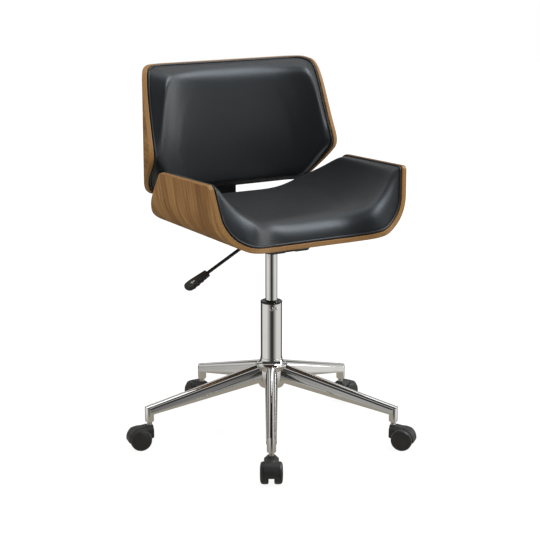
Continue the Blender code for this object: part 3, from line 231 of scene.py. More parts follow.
def floorLook():
    # White for the camera with a faint shadow; for polished metal a warm table that ends in the dark room
    material, tree, shader = newMaterial("floorWhite")
    feed(shader, {"Base Color": solid((0.80, 0.80, 0.80)), "Roughness": 0.55})
    base = shader.outputs[0]
    away = put(tree, "VectorMath", {0: objectPlace(tree)}, operation="LENGTH")["Value"]
    fade = sloped(away, *studio["shadowFade"], studio["floorShadow"], 0.0)
    seen = mixShader(fade, glow(tree, "Emission", (1.0, 1.0, 1.0), studio["white"]), base)
    end, edge = studio["table"], studio["tableEdge"]
    table = glow(tree, "Emission", studio["tableColour"], 1.0)
    gone = put(tree, "BsdfTransparent")[0]
    mirrored = mixShader(sloped(away, end - edge, end + edge), table, gone)
    path = put(tree, "LightPath")
    plain = mixShader(path["Is Camera Ray"], base, seen)
    both = mixShader(path["Is Glossy Ray"], plain, mirrored)
    feed(tree.nodes["Material Output"], {0: both})
    return material


def plainMesh(shape, name):
    mesh = bpy.data.meshes.new(name)
    shape.to_mesh(mesh)
    shape.free()
    return mesh


def makeFloor():
    shape = bmesh.new()
    bmesh.ops.create_grid(shape, x_segments=8, y_segments=8, size=6.0)
    floor = inScene("floor", plainMesh(shape, "floor"))
    floor.location.z = -0.0005
    floor.data.materials.append(floorLook())


makeCamera()
makeWorld()
makeFloor()
makeLamps()
bpy.context.scene.view_settings.view_transform = "Standard"
print("stage: camera and light")


# Shader groups shared by several materials

def newTree(kind, name, inputs, outputs=()):
    # An input is a number or its socket's kind; a geometry tree also takes geometry and a material
    if kind == "Geometry":
        inputs, outputs = {"Geometry": kind, **inputs, "Material": "Material"}, [kind]
    tree = bpy.data.node_groups.new(name, kind + "NodeTree")
    for label, value in inputs.items():
        form = {float: "Float", int: "Int"}.get(type(value), value)
        socket = tree.interface.new_socket(label, in_out="INPUT", socket_type="NodeSocket" + form)
        if form != value:
            socket.default_value = value
    for label in outputs:
        form = "Float" if kind == "Shader" else kind
        tree.interface.new_socket(label, in_out="OUTPUT", socket_type="NodeSocket" + form)
    return tree, tree.nodes.new("NodeGroupInput").outputs


def handledGroup():
    # Faint smears and specks: roughness, a height for the bump, and a mask of dust
    inputs = {"Place": "Vector", "Roughness": 0.3, "Smear": 0.05, "Scale": 30.0}
    tree, given = newTree("Shader", "handledSurface", inputs, ("Roughness", "Height", "Dust"))
    broad = noise(given["Place"], given["Scale"], 4.0)
    centred = maths("SUBTRACT", broad, 0.5)
    put(tree, "NodeGroupOutput", {
        "Roughness": scaled(centred, given["Smear"], given["Roughness"]),
        "Height": noise(given["Place"], scaled(given["Scale"], 22.0), 3.0),
        "Dust": sloped(broad, 0.55, 0.85),
    })
    return tree


def pebbleGroup():
    # Leather or moulded grain: rounded cells with soft valleys between them
    inputs = {"Place": "Vector", "Scale": 700.0, "Stretch": 0.35}
    tree, given = newTree("Shader", "pebbleGrain", inputs, ("Height", "Valley"))
    warp = put(tree, "TexNoise", {"Vector": given["Place"], "Scale": 160.0, "Detail": 2.0})
    bent = maths("MULTIPLY", warp["Color"], (0.0016, 0.0016, 0.0016), kind="VectorMath")
    moved = maths("ADD", given["Place"], bent, kind="VectorMath")
    values = {"Vector": moved, "Scale": given["Scale"], "Randomness": 0.9}
    cells = put(tree, "TexVoronoi", values, feature="DISTANCE_TO_EDGE")[0]
    domes = sloped(cells, 0.0, given["Stretch"], interpolation_type="SMOOTHERSTEP")
    put(tree, "NodeGroupOutput", {"Height": domes, "Valley": maths("SUBTRACT", 1.0, domes)})
    return tree


handled = handledGroup()
pebble = pebbleGroup()


def pebbled(place, scale, stretch):
    values = {"Place": place, "Scale": scale, "Stretch": stretch}
    return put(place.id_data, "Group", values, node_tree=pebble)


def bumped(height, distance, strength=0.5):
    values = {"Strength": strength, "Distance": distance, "Height": height}
    return put(height.id_data, "Bump", values)[0]


handling = {  # smears and their scale, the dusty colour's factor and offset, the bump's strength
    "metal": (0.03, 14.0, 0.86, 0.0, 0.35),
    "plating": (0.12, 60.0, 0.86, 0.0, 0.35),
    "paint": (0.16, 24.0, 2.2, 0.004, 0.5),
    "nylon": (0.14, 28.0, 2.0, 0.006, 0.5),
}


def plainLook(name, kind, colour, roughness, depth):
    # Bare metal has specks, powder coat a soft orange peel, and moulded nylon a fine spark-eroded grain
    smear, scale, factor, offset, strength = handling[kind]
    material, tree, shader = newMaterial(name)
    place = objectPlace(tree)
    values = {"Place": place, "Roughness": roughness, "Smear": smear, "Scale": scale}
    out = put(tree, "Group", values, node_tree=handled)
    if kind in ("metal", "plating"):
        feed(shader, {"Metallic": 1.0})
        height = out["Height"]
    elif kind == "paint":
        height = noise(place, 900.0, 2.0)
    else:
        feed(shader, {"Specular IOR Level": 0.45})
        height = pebbled(place, 1500.0, 0.5)["Height"]
    feed(shader, {
        "Base Color": mixColour(out["Dust"], colour, tuple(factor * part + offset for part in colour)),
        "Roughness": out["Roughness"], "Normal": bumped(height, depth, strength),
    })
    return material


def leatherLook():
    material, tree, shader = newMaterial("blackLeather")
    place = objectPlace(tree)
    grain = pebbled(place, 620.0, 0.32)
    tone = noise(place, 9.0, 5.0, 0.0, 0.6)
    creases = noise(place, 26.0, 6.0, 1.2)
    base = mixColour(tone, (0.0100, 0.0112, 0.0128), (0.0165, 0.0180, 0.0200))
    feed(shader, {
        "Base Color": mixColour(grain["Valley"], base, (0.006, 0.0062, 0.007)),
        "Roughness": scaled(grain["Valley"], 0.12, scaled(tone, 0.14, 0.26)),
        "Specular IOR Level": 0.60, "Specular Tint": (0.86, 0.94, 1.0, 1.0),
        "Sheen Weight": 0.06, "Sheen Roughness": 0.5,
        "Normal": bumped(scaled(creases, 1.6, grain["Height"]), 0.00004),
    })
    return material


def sheetMap(tree):
    # Along the veneer's grain and then across it, in metres
    return put(tree, "UVMap", uv_map="grain")[0]


def grainNoise(flat, along, across, detail, distortion=0.0):
    drawn = maths("MULTIPLY", flat, (along, across, 1.0), kind="VectorMath")
    return noise(drawn, 1.0, detail, distortion)


def veneerLook():
    # Walnut with broad figure, streaks and pores, and painted shade on the underside
    material, tree, shader = newMaterial("walnutVeneer")
    flat = sheetMap(tree)
    broad = grainNoise(flat, 1.6, 17.0, 3.0, 0.4)
    streak = grainNoise(flat, 5.0, 120.0, 4.0, 0.25)
    fine = grainNoise(flat, 22.0, 900.0, 3.0)
    pores = grainNoise(flat, 75.0, 2600.0, 1.0)
    tone = scaled(streak, 0.54, scaled(broad, 0.46))
    tone = scaled(maths("SUBTRACT", fine, 0.5), 0.30, tone)
    wood = colourRamp(tone, (
        (0.32, (0.125, 0.055, 0.014)), (0.44, (0.215, 0.103, 0.029)),
        (0.54, (0.290, 0.152, 0.048)), (0.66, (0.410, 0.240, 0.090)),
    ))
    pore = sloped(pores, 0.62, 0.72, 0.0, 0.55)
    colour = mixColour(pore, wood, (0.055, 0.026, 0.012))
    # Painted shade: faces that point downwards are darkened towards a near-black brown
    normal = put(tree, "NewGeometry")["Normal"]
    lean = put(tree, "SeparateXYZ", {0: normal})["Z"]
    below = sloped(lean, -0.90, -0.97, 0.0, 0.80)
    feed(shader, {
        "Base Color": mixColour(below, colour, (0.020, 0.013, 0.009)),
        "Roughness": scaled(fine, 0.20, 0.28),
        "Specular IOR Level": 0.32, "Coat Weight": 0.12, "Coat Roughness": 0.30,
        "Normal": bumped(maths("SUBTRACT", fine, pore), 0.00006),
    })
    return material


def plyEdgeLook():
    # Edge of the sheet: pale layers, alternately long grain and end grain, with thin glue lines
    material, tree, shader = newMaterial("plyEdge")
    flat = sheetMap(tree)
    across = put(tree, "SeparateXYZ", {0: flat})["Y"]
    wander = maths("SUBTRACT", grainNoise(flat, 14.0, 0.0, 2.0), 0.5)
    counted = scaled(scaled(wander, 0.10, across), 8.0)  # the number of plies
    inside = maths("FRACT", counted)
    odd = scaled(maths("FRACT", scaled(maths("FLOOR", counted), 0.5)), 2.0)
    toEdge = maths("MINIMUM", inside, maths("SUBTRACT", 1.0, inside))
    glue = sloped(toEdge, 0.02, 0.13, 1.0, 0.0)
    long = grainNoise(flat, 60.0, 24.0, 4.0)
    ends = grainNoise(flat, 1500.0, 18.0, 2.0)
    pale = mixColour(long, (0.50, 0.335, 0.150), (0.60, 0.430, 0.220))
    dark = mixColour(ends, (0.38, 0.235, 0.095), (0.50, 0.335, 0.155))
    layered = mixColour(odd, pale, dark)
    feed(shader, {
        "Base Color": mixColour(scaled(glue, 0.55), layered, (0.20, 0.105, 0.045)),
        "Roughness": scaled(ends, 0.2, 0.36),
        "Coat Weight": 0.15, "Coat Roughness": 0.3,
        "Normal": bumped(maths("SUBTRACT", ends, glue), 0.00008),
    })
    return material


looks = {
    "chrome": plainLook("chrome", "metal", (0.80, 0.80, 0.79), 0.045, 0.000003),
    "plated": plainLook("platedSteel", "plating", (0.62, 0.62, 0.60), 0.26, 0.00002),
    "black": plainLook("blackSteel", "paint", (0.012, 0.012, 0.012), 0.40, 0.00012),
    "nylon": plainLook("blackNylon", "nylon", (0.016, 0.016, 0.016), 0.40, 0.000012),
    "gloss": plainLook("glossNylon", "nylon", (0.012, 0.012, 0.012), 0.22, 0.000004),
    "thread": plainLook("blackThread", "nylon", (0.014, 0.014, 0.016), 0.60, 0.00003),
    "print": plainLook("palePrint", "paint", (0.42, 0.42, 0.41), 0.45, 0.00012),
    "rubber": plainLook("sealRubber", "nylon", (0.020, 0.020, 0.020), 0.68, 0.000012),
    "leather": leatherLook(),
    "veneer": veneerLook(),
    "edge": plyEdgeLook(),
}
print("stage: materials")


# Mesh helpers

def toMesh(shape, name):
    bmesh.ops.recalc_face_normals(shape, faces=shape.faces)
    return plainMesh(shape, name)


def circle(count):
    return [2.0 * pi * k / count for k in range(count)]


def quarter(steps):
    return [0.5 * pi * k / steps for k in range(steps + 1)]


def eased(steps):
    # From 0 to 1 with closer steps at both ends
    return [0.5 - 0.5 * cos(pi * k / steps) for k in range(steps + 1)]


def lifted(obj):
    # The mesh of an object that is no longer needed
    mesh = obj.data
    bpy.data.objects.remove(obj, do_unlink=True)
    return mesh


def softened(points, radius, steps):
    # Rounds the corners of a line of points, so that edges catch the light
    points = [Vector(point) for point in points]
    result = points[:1]
    for before, here, after in zip(points, points[1:], points[2:]):
        first, second = before - here, after - here
        if min(first.length, second.length) < 1e-7 or first.angle(second) > radians(168.0):
            result.append(here)
            continue
        reach = min(radius, 0.45 * first.length, 0.45 * second.length)
        start, end = here + first.normalized() * reach, here + second.normalized() * reach
        for step in range(steps + 1):
            t = step / steps
            result.append((1 - t) ** 2 * start + 2 * t * (1 - t) * here + t * t * end)
    return [tuple(point) for point in result + points[-1:]]


def ringMesh(name, rows, ends=False, closed=False):
    # Faces between neighbouring rings of points, where a ring may be a single point
    shape = bmesh.new()
    rings = [[shape.verts.new(point) for point in row] for row in rows]
    for first, second in zip(rings, rings[1:] + rings[:closed]):
        count = max(len(first), len(second))
        for k in range(count):
            n = (k + 1) % count
            corners = [first[k % len(first)], first[n % len(first)]]
            corners += [second[n % len(second)], second[k % len(second)]]
            shape.faces.new(list(dict.fromkeys(corners)))
    if ends:
        shape.faces.new(rings[0])
        shape.faces.new(list(reversed(rings[-1])))
    return toMesh(shape, name)


def latheMesh(name, profile, segments=64):
    # A profile that starts and ends on the axis is capped there; any other closes on itself
    turns = circle(segments)
    rows = []
    for radius, height in profile:
        if radius < 1e-7:
            rows.append([(0.0, 0.0, height)])
        else:
            rows.append([(radius * cos(a), radius * sin(a), height) for a in turns])
    return ringMesh(name, rows, closed=len(rows[0]) > 1 and len(rows[-1]) > 1)


def modify(obj, kind, **settings):
    modifier = obj.modifiers.new(kind.lower(), kind)
    for key, value in settings.items():
        setattr(modifier, key, value)
    return modifier


def evaluated(obj):
    depsgraph = bpy.context.evaluated_depsgraph_get()
    made = obj.evaluated_get(depsgraph)
    return bpy.data.meshes.new_from_object(made, preserve_all_data_layers=True, depsgraph=depsgraph)


def baked(obj):
    mesh = evaluated(obj)
    obj.modifiers.clear()
    obj.data = mesh


def softEdges(obj, width, angle, segments=2, limit=32.0):
    # Bevels the sharp edges and shades the rest smooth
    if width:
        limit = radians(limit)
        modify(obj, "BEVEL", width=width, segments=segments, limit_method="ANGLE", angle_limit=limit)
    obj.data.shade_smooth()
    obj.data.set_sharp_from_angle(angle=radians(angle))
    modify(obj, "WEIGHTED_NORMAL", keep_sharp=True, weight=50)
    baked(obj)


def assigned(obj, body, replaced=()):
    obj.data.name = obj.name
    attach(obj, body)
    if replaced:
        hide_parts(*replaced)
    return obj


def addPiece(name, mesh, body, materials, replaced=(), bevel=0.0, angle=38.0):
    mesh.materials.clear()
    for material in materials:
        mesh.materials.append(looks[material])
    obj = inScene(name, mesh)
    softEdges(obj, bevel, angle)
    return assigned(obj, body, replaced)


def dressed(node, body, look, bevel, angle=34.0):
    # The CAD node's own triangles, joined up and freed of the lines between flat ones
    shape = bmesh.new()
    shape.from_mesh(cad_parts[node].data)
    bmesh.ops.remove_doubles(shape, verts=shape.verts, dist=0.00002)
    bmesh.ops.dissolve_limit(shape, angle_limit=radians(1.2), verts=shape.verts, edges=shape.edges)
    return addPiece(node + "_look", toMesh(shape, node), body, [look], (node,), bevel, angle)


# Bent sheets and their cushions

seat = {
    "name": "seat", "bend": ((0.070, None), (0.100, 0.450), (0.120, 0.100)), "reach": 0.3555, "drop": 0.0066,
    "near": (-0.182, -0.0285, ((0.197, 0.0), (0.295, 0.18), (0.492, 1.0), (0.591, 0.72), (1.0, -0.351))),
    "far": (0.196, -0.132, ((0.478, 0.0), (0.613, 0.12), (0.731, 0.38), (1.0, 1.0))),
    "nearTip": 0.009, "farTip": 0.007,
    "middle": 0.0525, "wing": 0.020, "power": 4.2, "shoulders": (0.050, 0.024), "swells": (0.0, 0.009),
}
back = {
    "name": "back", "bend": ((0.1611, None), (0.117, 0.0852)), "reach": 0.3205, "drop": 0.0,
    "near": (0.5655, 0.1055, ((0.6115, 0.0), (0.711, 0.115), (0.825, 0.40), (0.9516, 0.74), (1.0, 0.8957))),
    "far": (0.869, -0.198, (
        (0.640, 0.0), (0.743, 0.035), (0.785, 0.096), (0.819, 0.197), (0.9485, 0.747), (1.0, 0.9444),
    )),
    "nearTip": 0.008, "farTip": 0.008,
    "middle": 0.039, "wing": 0.019, "power": 3.4, "shoulders": (0.022, 0.048), "swells": (0.004, 0.0),
}
sheet = {"thickness": 0.011, "round": 0.0011, "padBase": 0.0113, "step": 0.007, "tip": 0.014, "tipSteps": 8}


def smoothCurve(points, value):
    # A smooth curve through the points that never overshoots them
    xs, ys = [p[0] for p in points], [p[1] for p in points]
    steps = [(ys[k + 1] - ys[k]) / (xs[k + 1] - xs[k]) for k in range(len(xs) - 1)]
    slopes = [steps[0]]
    for before, after in zip(steps[:-1], steps[1:]):
        slopes.append(2.0 * before * after / (before + after) if before * after > 0.0 else 0.0)
    slopes.append(steps[-1])
    value = min(max(value, xs[0]), xs[-1])
    k = max(index for index in range(len(xs) - 1) if xs[index] <= value)
    width = xs[k + 1] - xs[k]
    t = (value - xs[k]) / width
    start = (1 + 2 * t) * (1 - t) ** 2 * ys[k] + t * (1 - t) ** 2 * width * slopes[k]
    return start + t * t * (3 - 2 * t) * ys[k + 1] + t * t * (t - 1) * width * slopes[k + 1]


def bendPath(along, bend):
    # Follows flats and bends from the middle outwards: how far aside, how far up, how steep
    left, sideways, rise, slope = abs(along), 0.0, 0.0, 0.0
    for length, radius in bend + ((1.0, None),):
        step = min(left, length)
        left -= step
        if radius is None:
            sideways += step * cos(slope)
            rise += step * sin(slope)
        else:
            turned = step / radius
            sideways += radius * (sin(slope + turned) - sin(slope))
            rise += radius * (cos(slope) - cos(slope + turned))
            slope += turned
    return sideways, rise, slope


def onPanel(panel, aside, across, above):
    # The seat lies and is measured upwards, the back stands and is measured forwards
    if panel["name"] == "seat":
        return Vector((aside + axisX, across + axisY, seatLevel + above))
    return Vector((aside + axisX, backPlace - above + axisY, across))


def sheetPoint(panel, along, across, depth, t):
    reached = along * (1.0 - panel["drop"] / panel["reach"] ** 4 * t * abs(along) ** 3)
    sideways, rise, slope = bendPath(reached, panel["bend"])
    aside = copysign(sideways - depth * sin(slope), reached)
    return onPanel(panel, aside, across, rise + depth * cos(slope))


def edgeAt(panel, side, along):
    # An edge starts level and then changes, by shares of the reach and of the change, and its tip is round
    start, change, shares = panel[side]
    reach, radius = panel["reach"], panel[side + "Tip"]
    points = [(0.0, start)] + [(part * reach, start + portion * change) for part, portion in shares]
    inside = min(max(abs(along) - (reach - radius), 0.0), radius)
    rounding = radius - sqrt(radius * radius - inside * inside)
    return smoothCurve(points, abs(along)) + (rounding if side == "near" else -rounding)


def span(panel, along, inset=0.0):
    # Where the sheet's two long edges are, drawn in by the inset
    return edgeAt(panel, "near", along) + inset, edgeAt(panel, "far", along) - inset


def acrossAt(panel, along, t, inset=0.0):
    near, far = span(panel, along, inset)
    return near + (far - near) * t


def columnPlaces(panel, step):
    # Even steps, then closer ones over the rounded tip
    tip = sheet["tip"]
    flat = panel["reach"] - tip
    count = round(flat / step)
    half = [flat * k / count for k in range(count + 1)]
    half += [flat + tip * sin(a) for a in quarter(sheet["tipSteps"])[1:]]
    return [-value for value in reversed(half[1:])] + half


def gridPoint(panel, along, t, depth, inset):
    # A place on the sheet; the inset draws its whole outline in
    scale = (panel["reach"] - inset) / panel["reach"]
    return sheetPoint(panel, along * scale, acrossAt(panel, along, t, inset), depth, t)


def gridCells(columns, rows):
    pairs = [(i, j) for i in range(columns - 1) for j in range(rows - 1)]
    return [((i, j), (i + 1, j), (i + 1, j + 1), (i, j + 1)) for i, j in pairs]


def rimOrder(columns, rows):
    last, end = columns - 1, rows - 1
    order = [(i, 0) for i in range(last)]
    order += [(last, j) for j in range(end)]
    order += [(i, end) for i in range(last, 0, -1)]
    return order + [(0, j) for j in range(end, 0, -1)]


def shellMesh(panel):
    places = columnPlaces(panel, sheet["step"])
    rows = [k / 40 for k in range(41)]
    order = rimOrder(len(places), len(rows))
    thick, soft = sheet["thickness"], sheet["round"]
    levels = [(soft * (1.0 - cos(a)), soft * (1.0 - sin(a))) for a in quarter(4)]
    levels += [(thick - depth, inset) for depth, inset in reversed(levels)]
    shape = bmesh.new()
    grain = shape.loops.layers.uv.new("grain")

    def skin(corners, spots, material):
        face = shape.faces.new(corners)
        face.material_index = material
        for loop, spot in zip(face.loops, spots):
            loop[grain].uv = spot

    rings = []
    for depth, inset in levels:
        if depth in (0.0, thick):
            grid = [[shape.verts.new(gridPoint(panel, a, t, depth, soft)) for t in rows] for a in places]
            shift = 3.7 if depth else 0.0  # the two faces show other parts of the figure
            for cell in gridCells(len(places), len(rows)):
                spots = [(places[i] + shift, acrossAt(panel, places[i], rows[j])) for i, j in cell]
                skin([grid[i][j] for i, j in cell], spots, 0)
            rings.append([grid[i][j] for i, j in order])
        else:
            ring = [gridPoint(panel, places[i], rows[j], depth, inset) for i, j in order]
            rings.append([shape.verts.new(point) for point in ring])
    count = len(order)
    lengths = [0.0]
    for k in range(count):
        lengths.append(lengths[-1] + (rings[0][(k + 1) % count].co - rings[0][k].co).length)
    for low in range(len(levels) - 1):
        first, second = rings[low], rings[low + 1]
        bottom, top = levels[low][0] / thick, levels[low + 1][0] / thick
        for k in range(count):
            n = (k + 1) % count
            here, there = lengths[k], lengths[k + 1]
            spots = ((here, bottom), (there, bottom), (there, top), (here, top))
            skin((first[k], first[n], second[n], second[k]), spots, 1)
    return toMesh(shape, panel["name"] + "Shell")


pad = {
    "inset": 0.0042, "edge": 0.0052, "cap": 0.0016, "crown": 0.002, "tuck": 0.009, "tipShoulder": 0.019,
    "step": 0.0065, "relax": 30, "weltRadius": 0.0021, "weltInset": 0.0030, "weltHeight": 0.0040,
}


def shoulder(distance, width):
    share = min(max(distance / width, 0.0), 1.0)
    return (1.0 - (1.0 - share) ** 2.2) ** 0.52


def padTop(panel, along, t):
    # The pad's upper curve, one sweep from wing to wing, level in the middle and ever steeper outwards
    ply, reach = sheet["thickness"], panel["reach"]
    tipX, tipY, slope = bendPath(reach, panel["bend"])
    wingX = tipX - (ply + panel["wing"]) * sin(slope)
    wingY = tipY + (ply + panel["wing"]) * cos(slope)
    share = abs(along) / reach
    aside = along * (1.0 - (1.0 - wingX / reach) * share ** 1.3)
    level = ply + panel["middle"]
    above = level + (wingY - pad["tuck"] - level) * (abs(aside) / wingX) ** panel["power"]
    outwards = min(share / 0.85, 1.0)
    bent = outwards * outwards * (3.0 - 2.0 * outwards)
    swell = panel["swells"][0] * (1.0 - t) ** 2 + panel["swells"][1] * t ** 2
    above += pad["crown"] * sin(pi * t) + swell * (1.0 - bent)
    aside *= 1.0 - panel["drop"] / reach * t * share ** 3
    return onPanel(panel, aside, acrossAt(panel, along, t, pad["inset"]), above), bent


def padPoint(panel, along, t):
    # From the low sewn edge over a round shoulder up to the curve
    low = gridPoint(panel, along, t, sheet["padBase"] + pad["edge"], pad["inset"])
    top, bent = padTop(panel, along, t)
    near, far = span(panel, along, pad["inset"])
    end = (panel["reach"] - pad["inset"]) * (1.0 - abs(along) / panel["reach"])
    first, last = [width + (pad["tipShoulder"] - width) * bent for width in panel["shoulders"]]
    across = shoulder(t * (far - near), first) * shoulder((1.0 - t) * (far - near), last)
    return low.lerp(top, across * shoulder(end, pad["tipShoulder"]))


def padMesh(panel):
    # Returns the mesh and the points that are sewn down: all of the flat side and the upper side's rim
    places = columnPlaces(panel, pad["step"])
    rows = eased(52)
    under = [[gridPoint(panel, a, t, sheet["padBase"], pad["inset"]) for t in rows] for a in places]
    over = [[padPoint(panel, a, t) for t in rows] for a in places]
    shape = bmesh.new()
    grids = []
    for points in (under, over):
        grid = [[shape.verts.new(point) for point in line] for line in points]
        grids.append(grid)
        for cell in gridCells(len(places), len(rows)):
            shape.faces.new([grid[i][j] for i, j in cell])
    order = rimOrder(len(places), len(rows))
    for (i, j), (m, n) in zip(order, order[1:] + order[:1]):
        shape.faces.new((grids[0][i][j], grids[0][m][n], grids[1][m][n], grids[1][i][j]))
    free = [v for line in grids[1][1:-1] for v in line[1:-1]]
    allAxes = {"use_axis_x": True, "use_axis_y": True, "use_axis_z": True}
    for _ in range(pad["relax"]):
        bmesh.ops.smooth_vert(shape, verts=free, factor=0.5, **allAxes)
    count = len(places) * len(rows)
    sewn = list(range(count)) + [count + i * len(rows) + j for i, j in order]
    return toMesh(shape, panel["name"] + "Pad"), sewn


air = {
    "vertex_group_mass": "sewn", "use_pressure": True, "uniform_pressure_force": 4.0, "quality": 6,
    "tension_stiffness": 25.0, "compression_stiffness": 25.0, "bending_stiffness": 4.0,
}


def puffed(obj, sewn):
    # Air pressure swells the leather between its sewn edges; the furthest point moves by the cap
    before = [v.co.copy() for v in obj.data.vertices]
    obj.vertex_groups.new(name="sewn").add(sewn, 1.0, "REPLACE")
    cloth = modify(obj, "CLOTH")
    for key, value in air.items():
        setattr(cloth.settings, key, value)
    cloth.settings.effector_weights.gravity = 0.0
    scene = bpy.context.scene
    for number in range(1, 21):
        scene.frame_set(number)
    depsgraph = bpy.context.evaluated_depsgraph_get()
    after = [v.co.copy() for v in obj.evaluated_get(depsgraph).data.vertices]
    obj.modifiers.clear()
    obj.vertex_groups.clear()
    scene.frame_set(1)
    furthest = max((end - start).length for start, end in zip(before, after))
    for vertex, start, end in zip(obj.data.vertices, before, after):
        vertex.co = start.lerp(end, min(pad["cap"] / furthest, 1.0))
    print("puffed", obj.name, round(furthest, 5))


def makePad(panel):
    mesh, sewn = padMesh(panel)
    node = panel["name"] + "_cushion"
    obj = inScene(node + "_look", mesh)
    puffed(obj, sewn)
    mesh.materials.append(looks["leather"])
    modify(obj, "SUBSURF", levels=1, render_levels=1)
    baked(obj)
    obj.data.shade_smooth()
    assigned(obj, "seat", (node,))
    return obj


def weltMesh(panel):
    # A thin leather cord sewn round the pad, right at the sheet's edge
    places = columnPlaces(panel, pad["step"])
    order = rimOrder(len(places), 49)
    height = sheet["padBase"] + pad["weltHeight"]
    path, inner = [
        [gridPoint(panel, places[i], j / 48, height, inset) for i, j in order]
        for inset in (pad["weltInset"], pad["weltInset"] + 0.01)
    ]
    radius, rings = pad["weltRadius"], []
    for k, point in enumerate(path):
        forward = (path[(k + 1) % len(path)] - path[k - 1]).normalized()
        inward = inner[k] - point
        inward = (inward - forward * inward.dot(forward)).normalized()
        up = forward.cross(inward)
        rings.append([point + radius * (inward * cos(a) + up * sin(a)) for a in circle(12)])
    return ringMesh(panel["name"] + "Welt", rings, closed=True)


# Geometry Nodes trees for what repeats

def endTree(tree, given, points, instance, turn, scale=(1.0, 1.0, 1.0)):
    # A turned copy on each point, all made one plain mesh of the material
    values = {"Points": points, "Instance": instance, "Rotation": turn, "Scale": scale}
    copies = put(tree, "GeometryNodeInstanceOnPoints", values)[0]
    whole = put(tree, "GeometryNodeRealizeInstances", {0: copies})[0]
    values = {"Geometry": whole, "Material": given["Material"]}
    put(tree, "NodeGroupOutput", {0: put(tree, "GeometryNodeSetMaterial", values)[0]})
    return tree


def upwards(length):
    return put(length.id_data, "CombineXYZ", {"Z": length})[0]


def aimed(direction):
    values = {"Vector": direction}
    return put(direction.id_data, "FunctionNodeAlignRotationToVector", values, axis="Z")[0]


def starTree():
    # Sets copies of a leg at even turns round the upright axis
    tree, given = newTree("Geometry", "starOfLegs", {"Count": 5, "First turn": 0.0})
    spots = put(tree, "GeometryNodePoints", {"Count": given["Count"]})[0]
    share = maths("DIVIDE", put(tree, "GeometryNodeInputIndex")[0], given["Count"])
    turn = upwards(scaled(share, 2.0 * pi, given["First turn"]))
    return endTree(tree, given, spots, given["Geometry"], turn)


def studTree():
    # A screw head on each point, facing along the point's own direction and turned at random
    tree, given = newTree("Geometry", "studs", {"Head": "Object", "Size": 1.0, "Seed": 3})
    values = {"Name": "facing"}
    facing = put(tree, "GeometryNodeInputNamedAttribute", values, data_type="FLOAT_VECTOR")[0]
    values = {3: 2.0 * pi, "Seed": given["Seed"]}
    chance = put(tree, "FunctionNodeRandomValue", values, data_type="FLOAT")[1]
    twist = put(tree, "FunctionNodeEulerToRotation", {0: upwards(chance)})[0]
    values = {0: aimed(facing), 1: twist}
    turned = put(tree, "FunctionNodeRotateRotation", values, rotation_space="LOCAL")[0]
    head = put(tree, "GeometryNodeObjectInfo", {"Object": given["Head"]})["Geometry"]
    return endTree(tree, given, given["Geometry"], head, turned, given["Size"])


def stitchTree():
    # Short lengths of thread, evenly spaced along a line
    tree, given = newTree("Geometry", "stitches", {"Spacing": 0.0055, "Length": 0.0036, "Thread": 0.0003})
    line = put(tree, "GeometryNodeMeshToCurve", {0: given["Geometry"]})[0]
    values = {"Curve": line, "Length": given["Spacing"]}
    even = put(tree, "GeometryNodeResampleCurve", values, mode="LENGTH")[0]
    start, end = [upwards(scaled(given["Length"], half)) for half in (-0.5, 0.5)]
    core = put(tree, "GeometryNodeCurvePrimitiveLine", {"Start": start, "End": end})[0]
    values = {"Resolution": 6, "Radius": given["Thread"]}
    ring = put(tree, "GeometryNodeCurvePrimitiveCircle", values, mode="RADIUS")[0]
    thread = put(tree, "GeometryNodeCurveToMesh", {0: core, 1: ring, "Fill Caps": True})[0]
    along = put(tree, "GeometryNodeInputTangent")[0]
    return endTree(tree, given, even, thread, aimed(along))


def grown(name, mesh, tree, values):
    # Runs a tree on a mesh and returns the plain mesh that it makes
    host = inScene(name, mesh)
    modifier = modify(host, "NODES", node_group=tree)
    for item in tree.interface.items_tree:
        if item.in_out == "INPUT" and item.name in values:
            modifier[item.identifier] = values[item.name]
    result = evaluated(host)
    lifted(host)
    return result


stitch = {"inside": 0.0062, "lift": 0.00012, "Spacing": 0.0055, "Length": 0.0036, "Thread": 0.00028}


def stitchPath(panel, surface):
    # A closed line on the leather, a few millimetres inside the welt
    places = [a for a in columnPlaces(panel, pad["step"]) if abs(a) < panel["reach"] - stitch["inside"]]
    rows = [k / 40 for k in range(3, 38)]
    order = [(a, "near") for a in places] + [(places[-1], t) for t in rows]
    order += [(a, "far") for a in reversed(places)] + [(places[0], t) for t in reversed(rows)]
    tree = BVHTree.FromObject(surface, bpy.context.evaluated_depsgraph_get())
    shape = bmesh.new()
    corners = []
    for a, t in order:
        near, far = span(panel, a)
        margin = stitch["inside"] / (far - near)
        t = {"near": margin, "far": 1.0 - margin}.get(t, t)
        above = gridPoint(panel, a, t, sheet["padBase"] + 0.012, pad["inset"])
        place, normal, face, distance = tree.find_nearest(above)
        corners.append(shape.verts.new(place + normal * stitch["lift"]))
    for pair in zip(corners, corners[1:] + corners[:1]):
        shape.edges.new(pair)
    return plainMesh(shape, "stitchPath")


trees = {"star": starTree(), "stud": studTree(), "stitch": stitchTree()}
for panel in (seat, back):
    name = panel["name"]
    node = name + "_shell"
    addPiece(node + "_look", shellMesh(panel), "seat", ["veneer", "edge"], (node,), angle=70.0)
    surface = makePad(panel)
    addPiece(name + "_welt", weltMesh(panel), "seat", ["leather"], angle=80.0)
    values = {**stitch, "Material": looks["thread"]}
    threads = grown(name + "Threads", stitchPath(panel, surface), trees["stitch"], values)
    assigned(inScene(name + "_stitches", threads), "seat")
print("stage: shells and cushions")


# Column and base

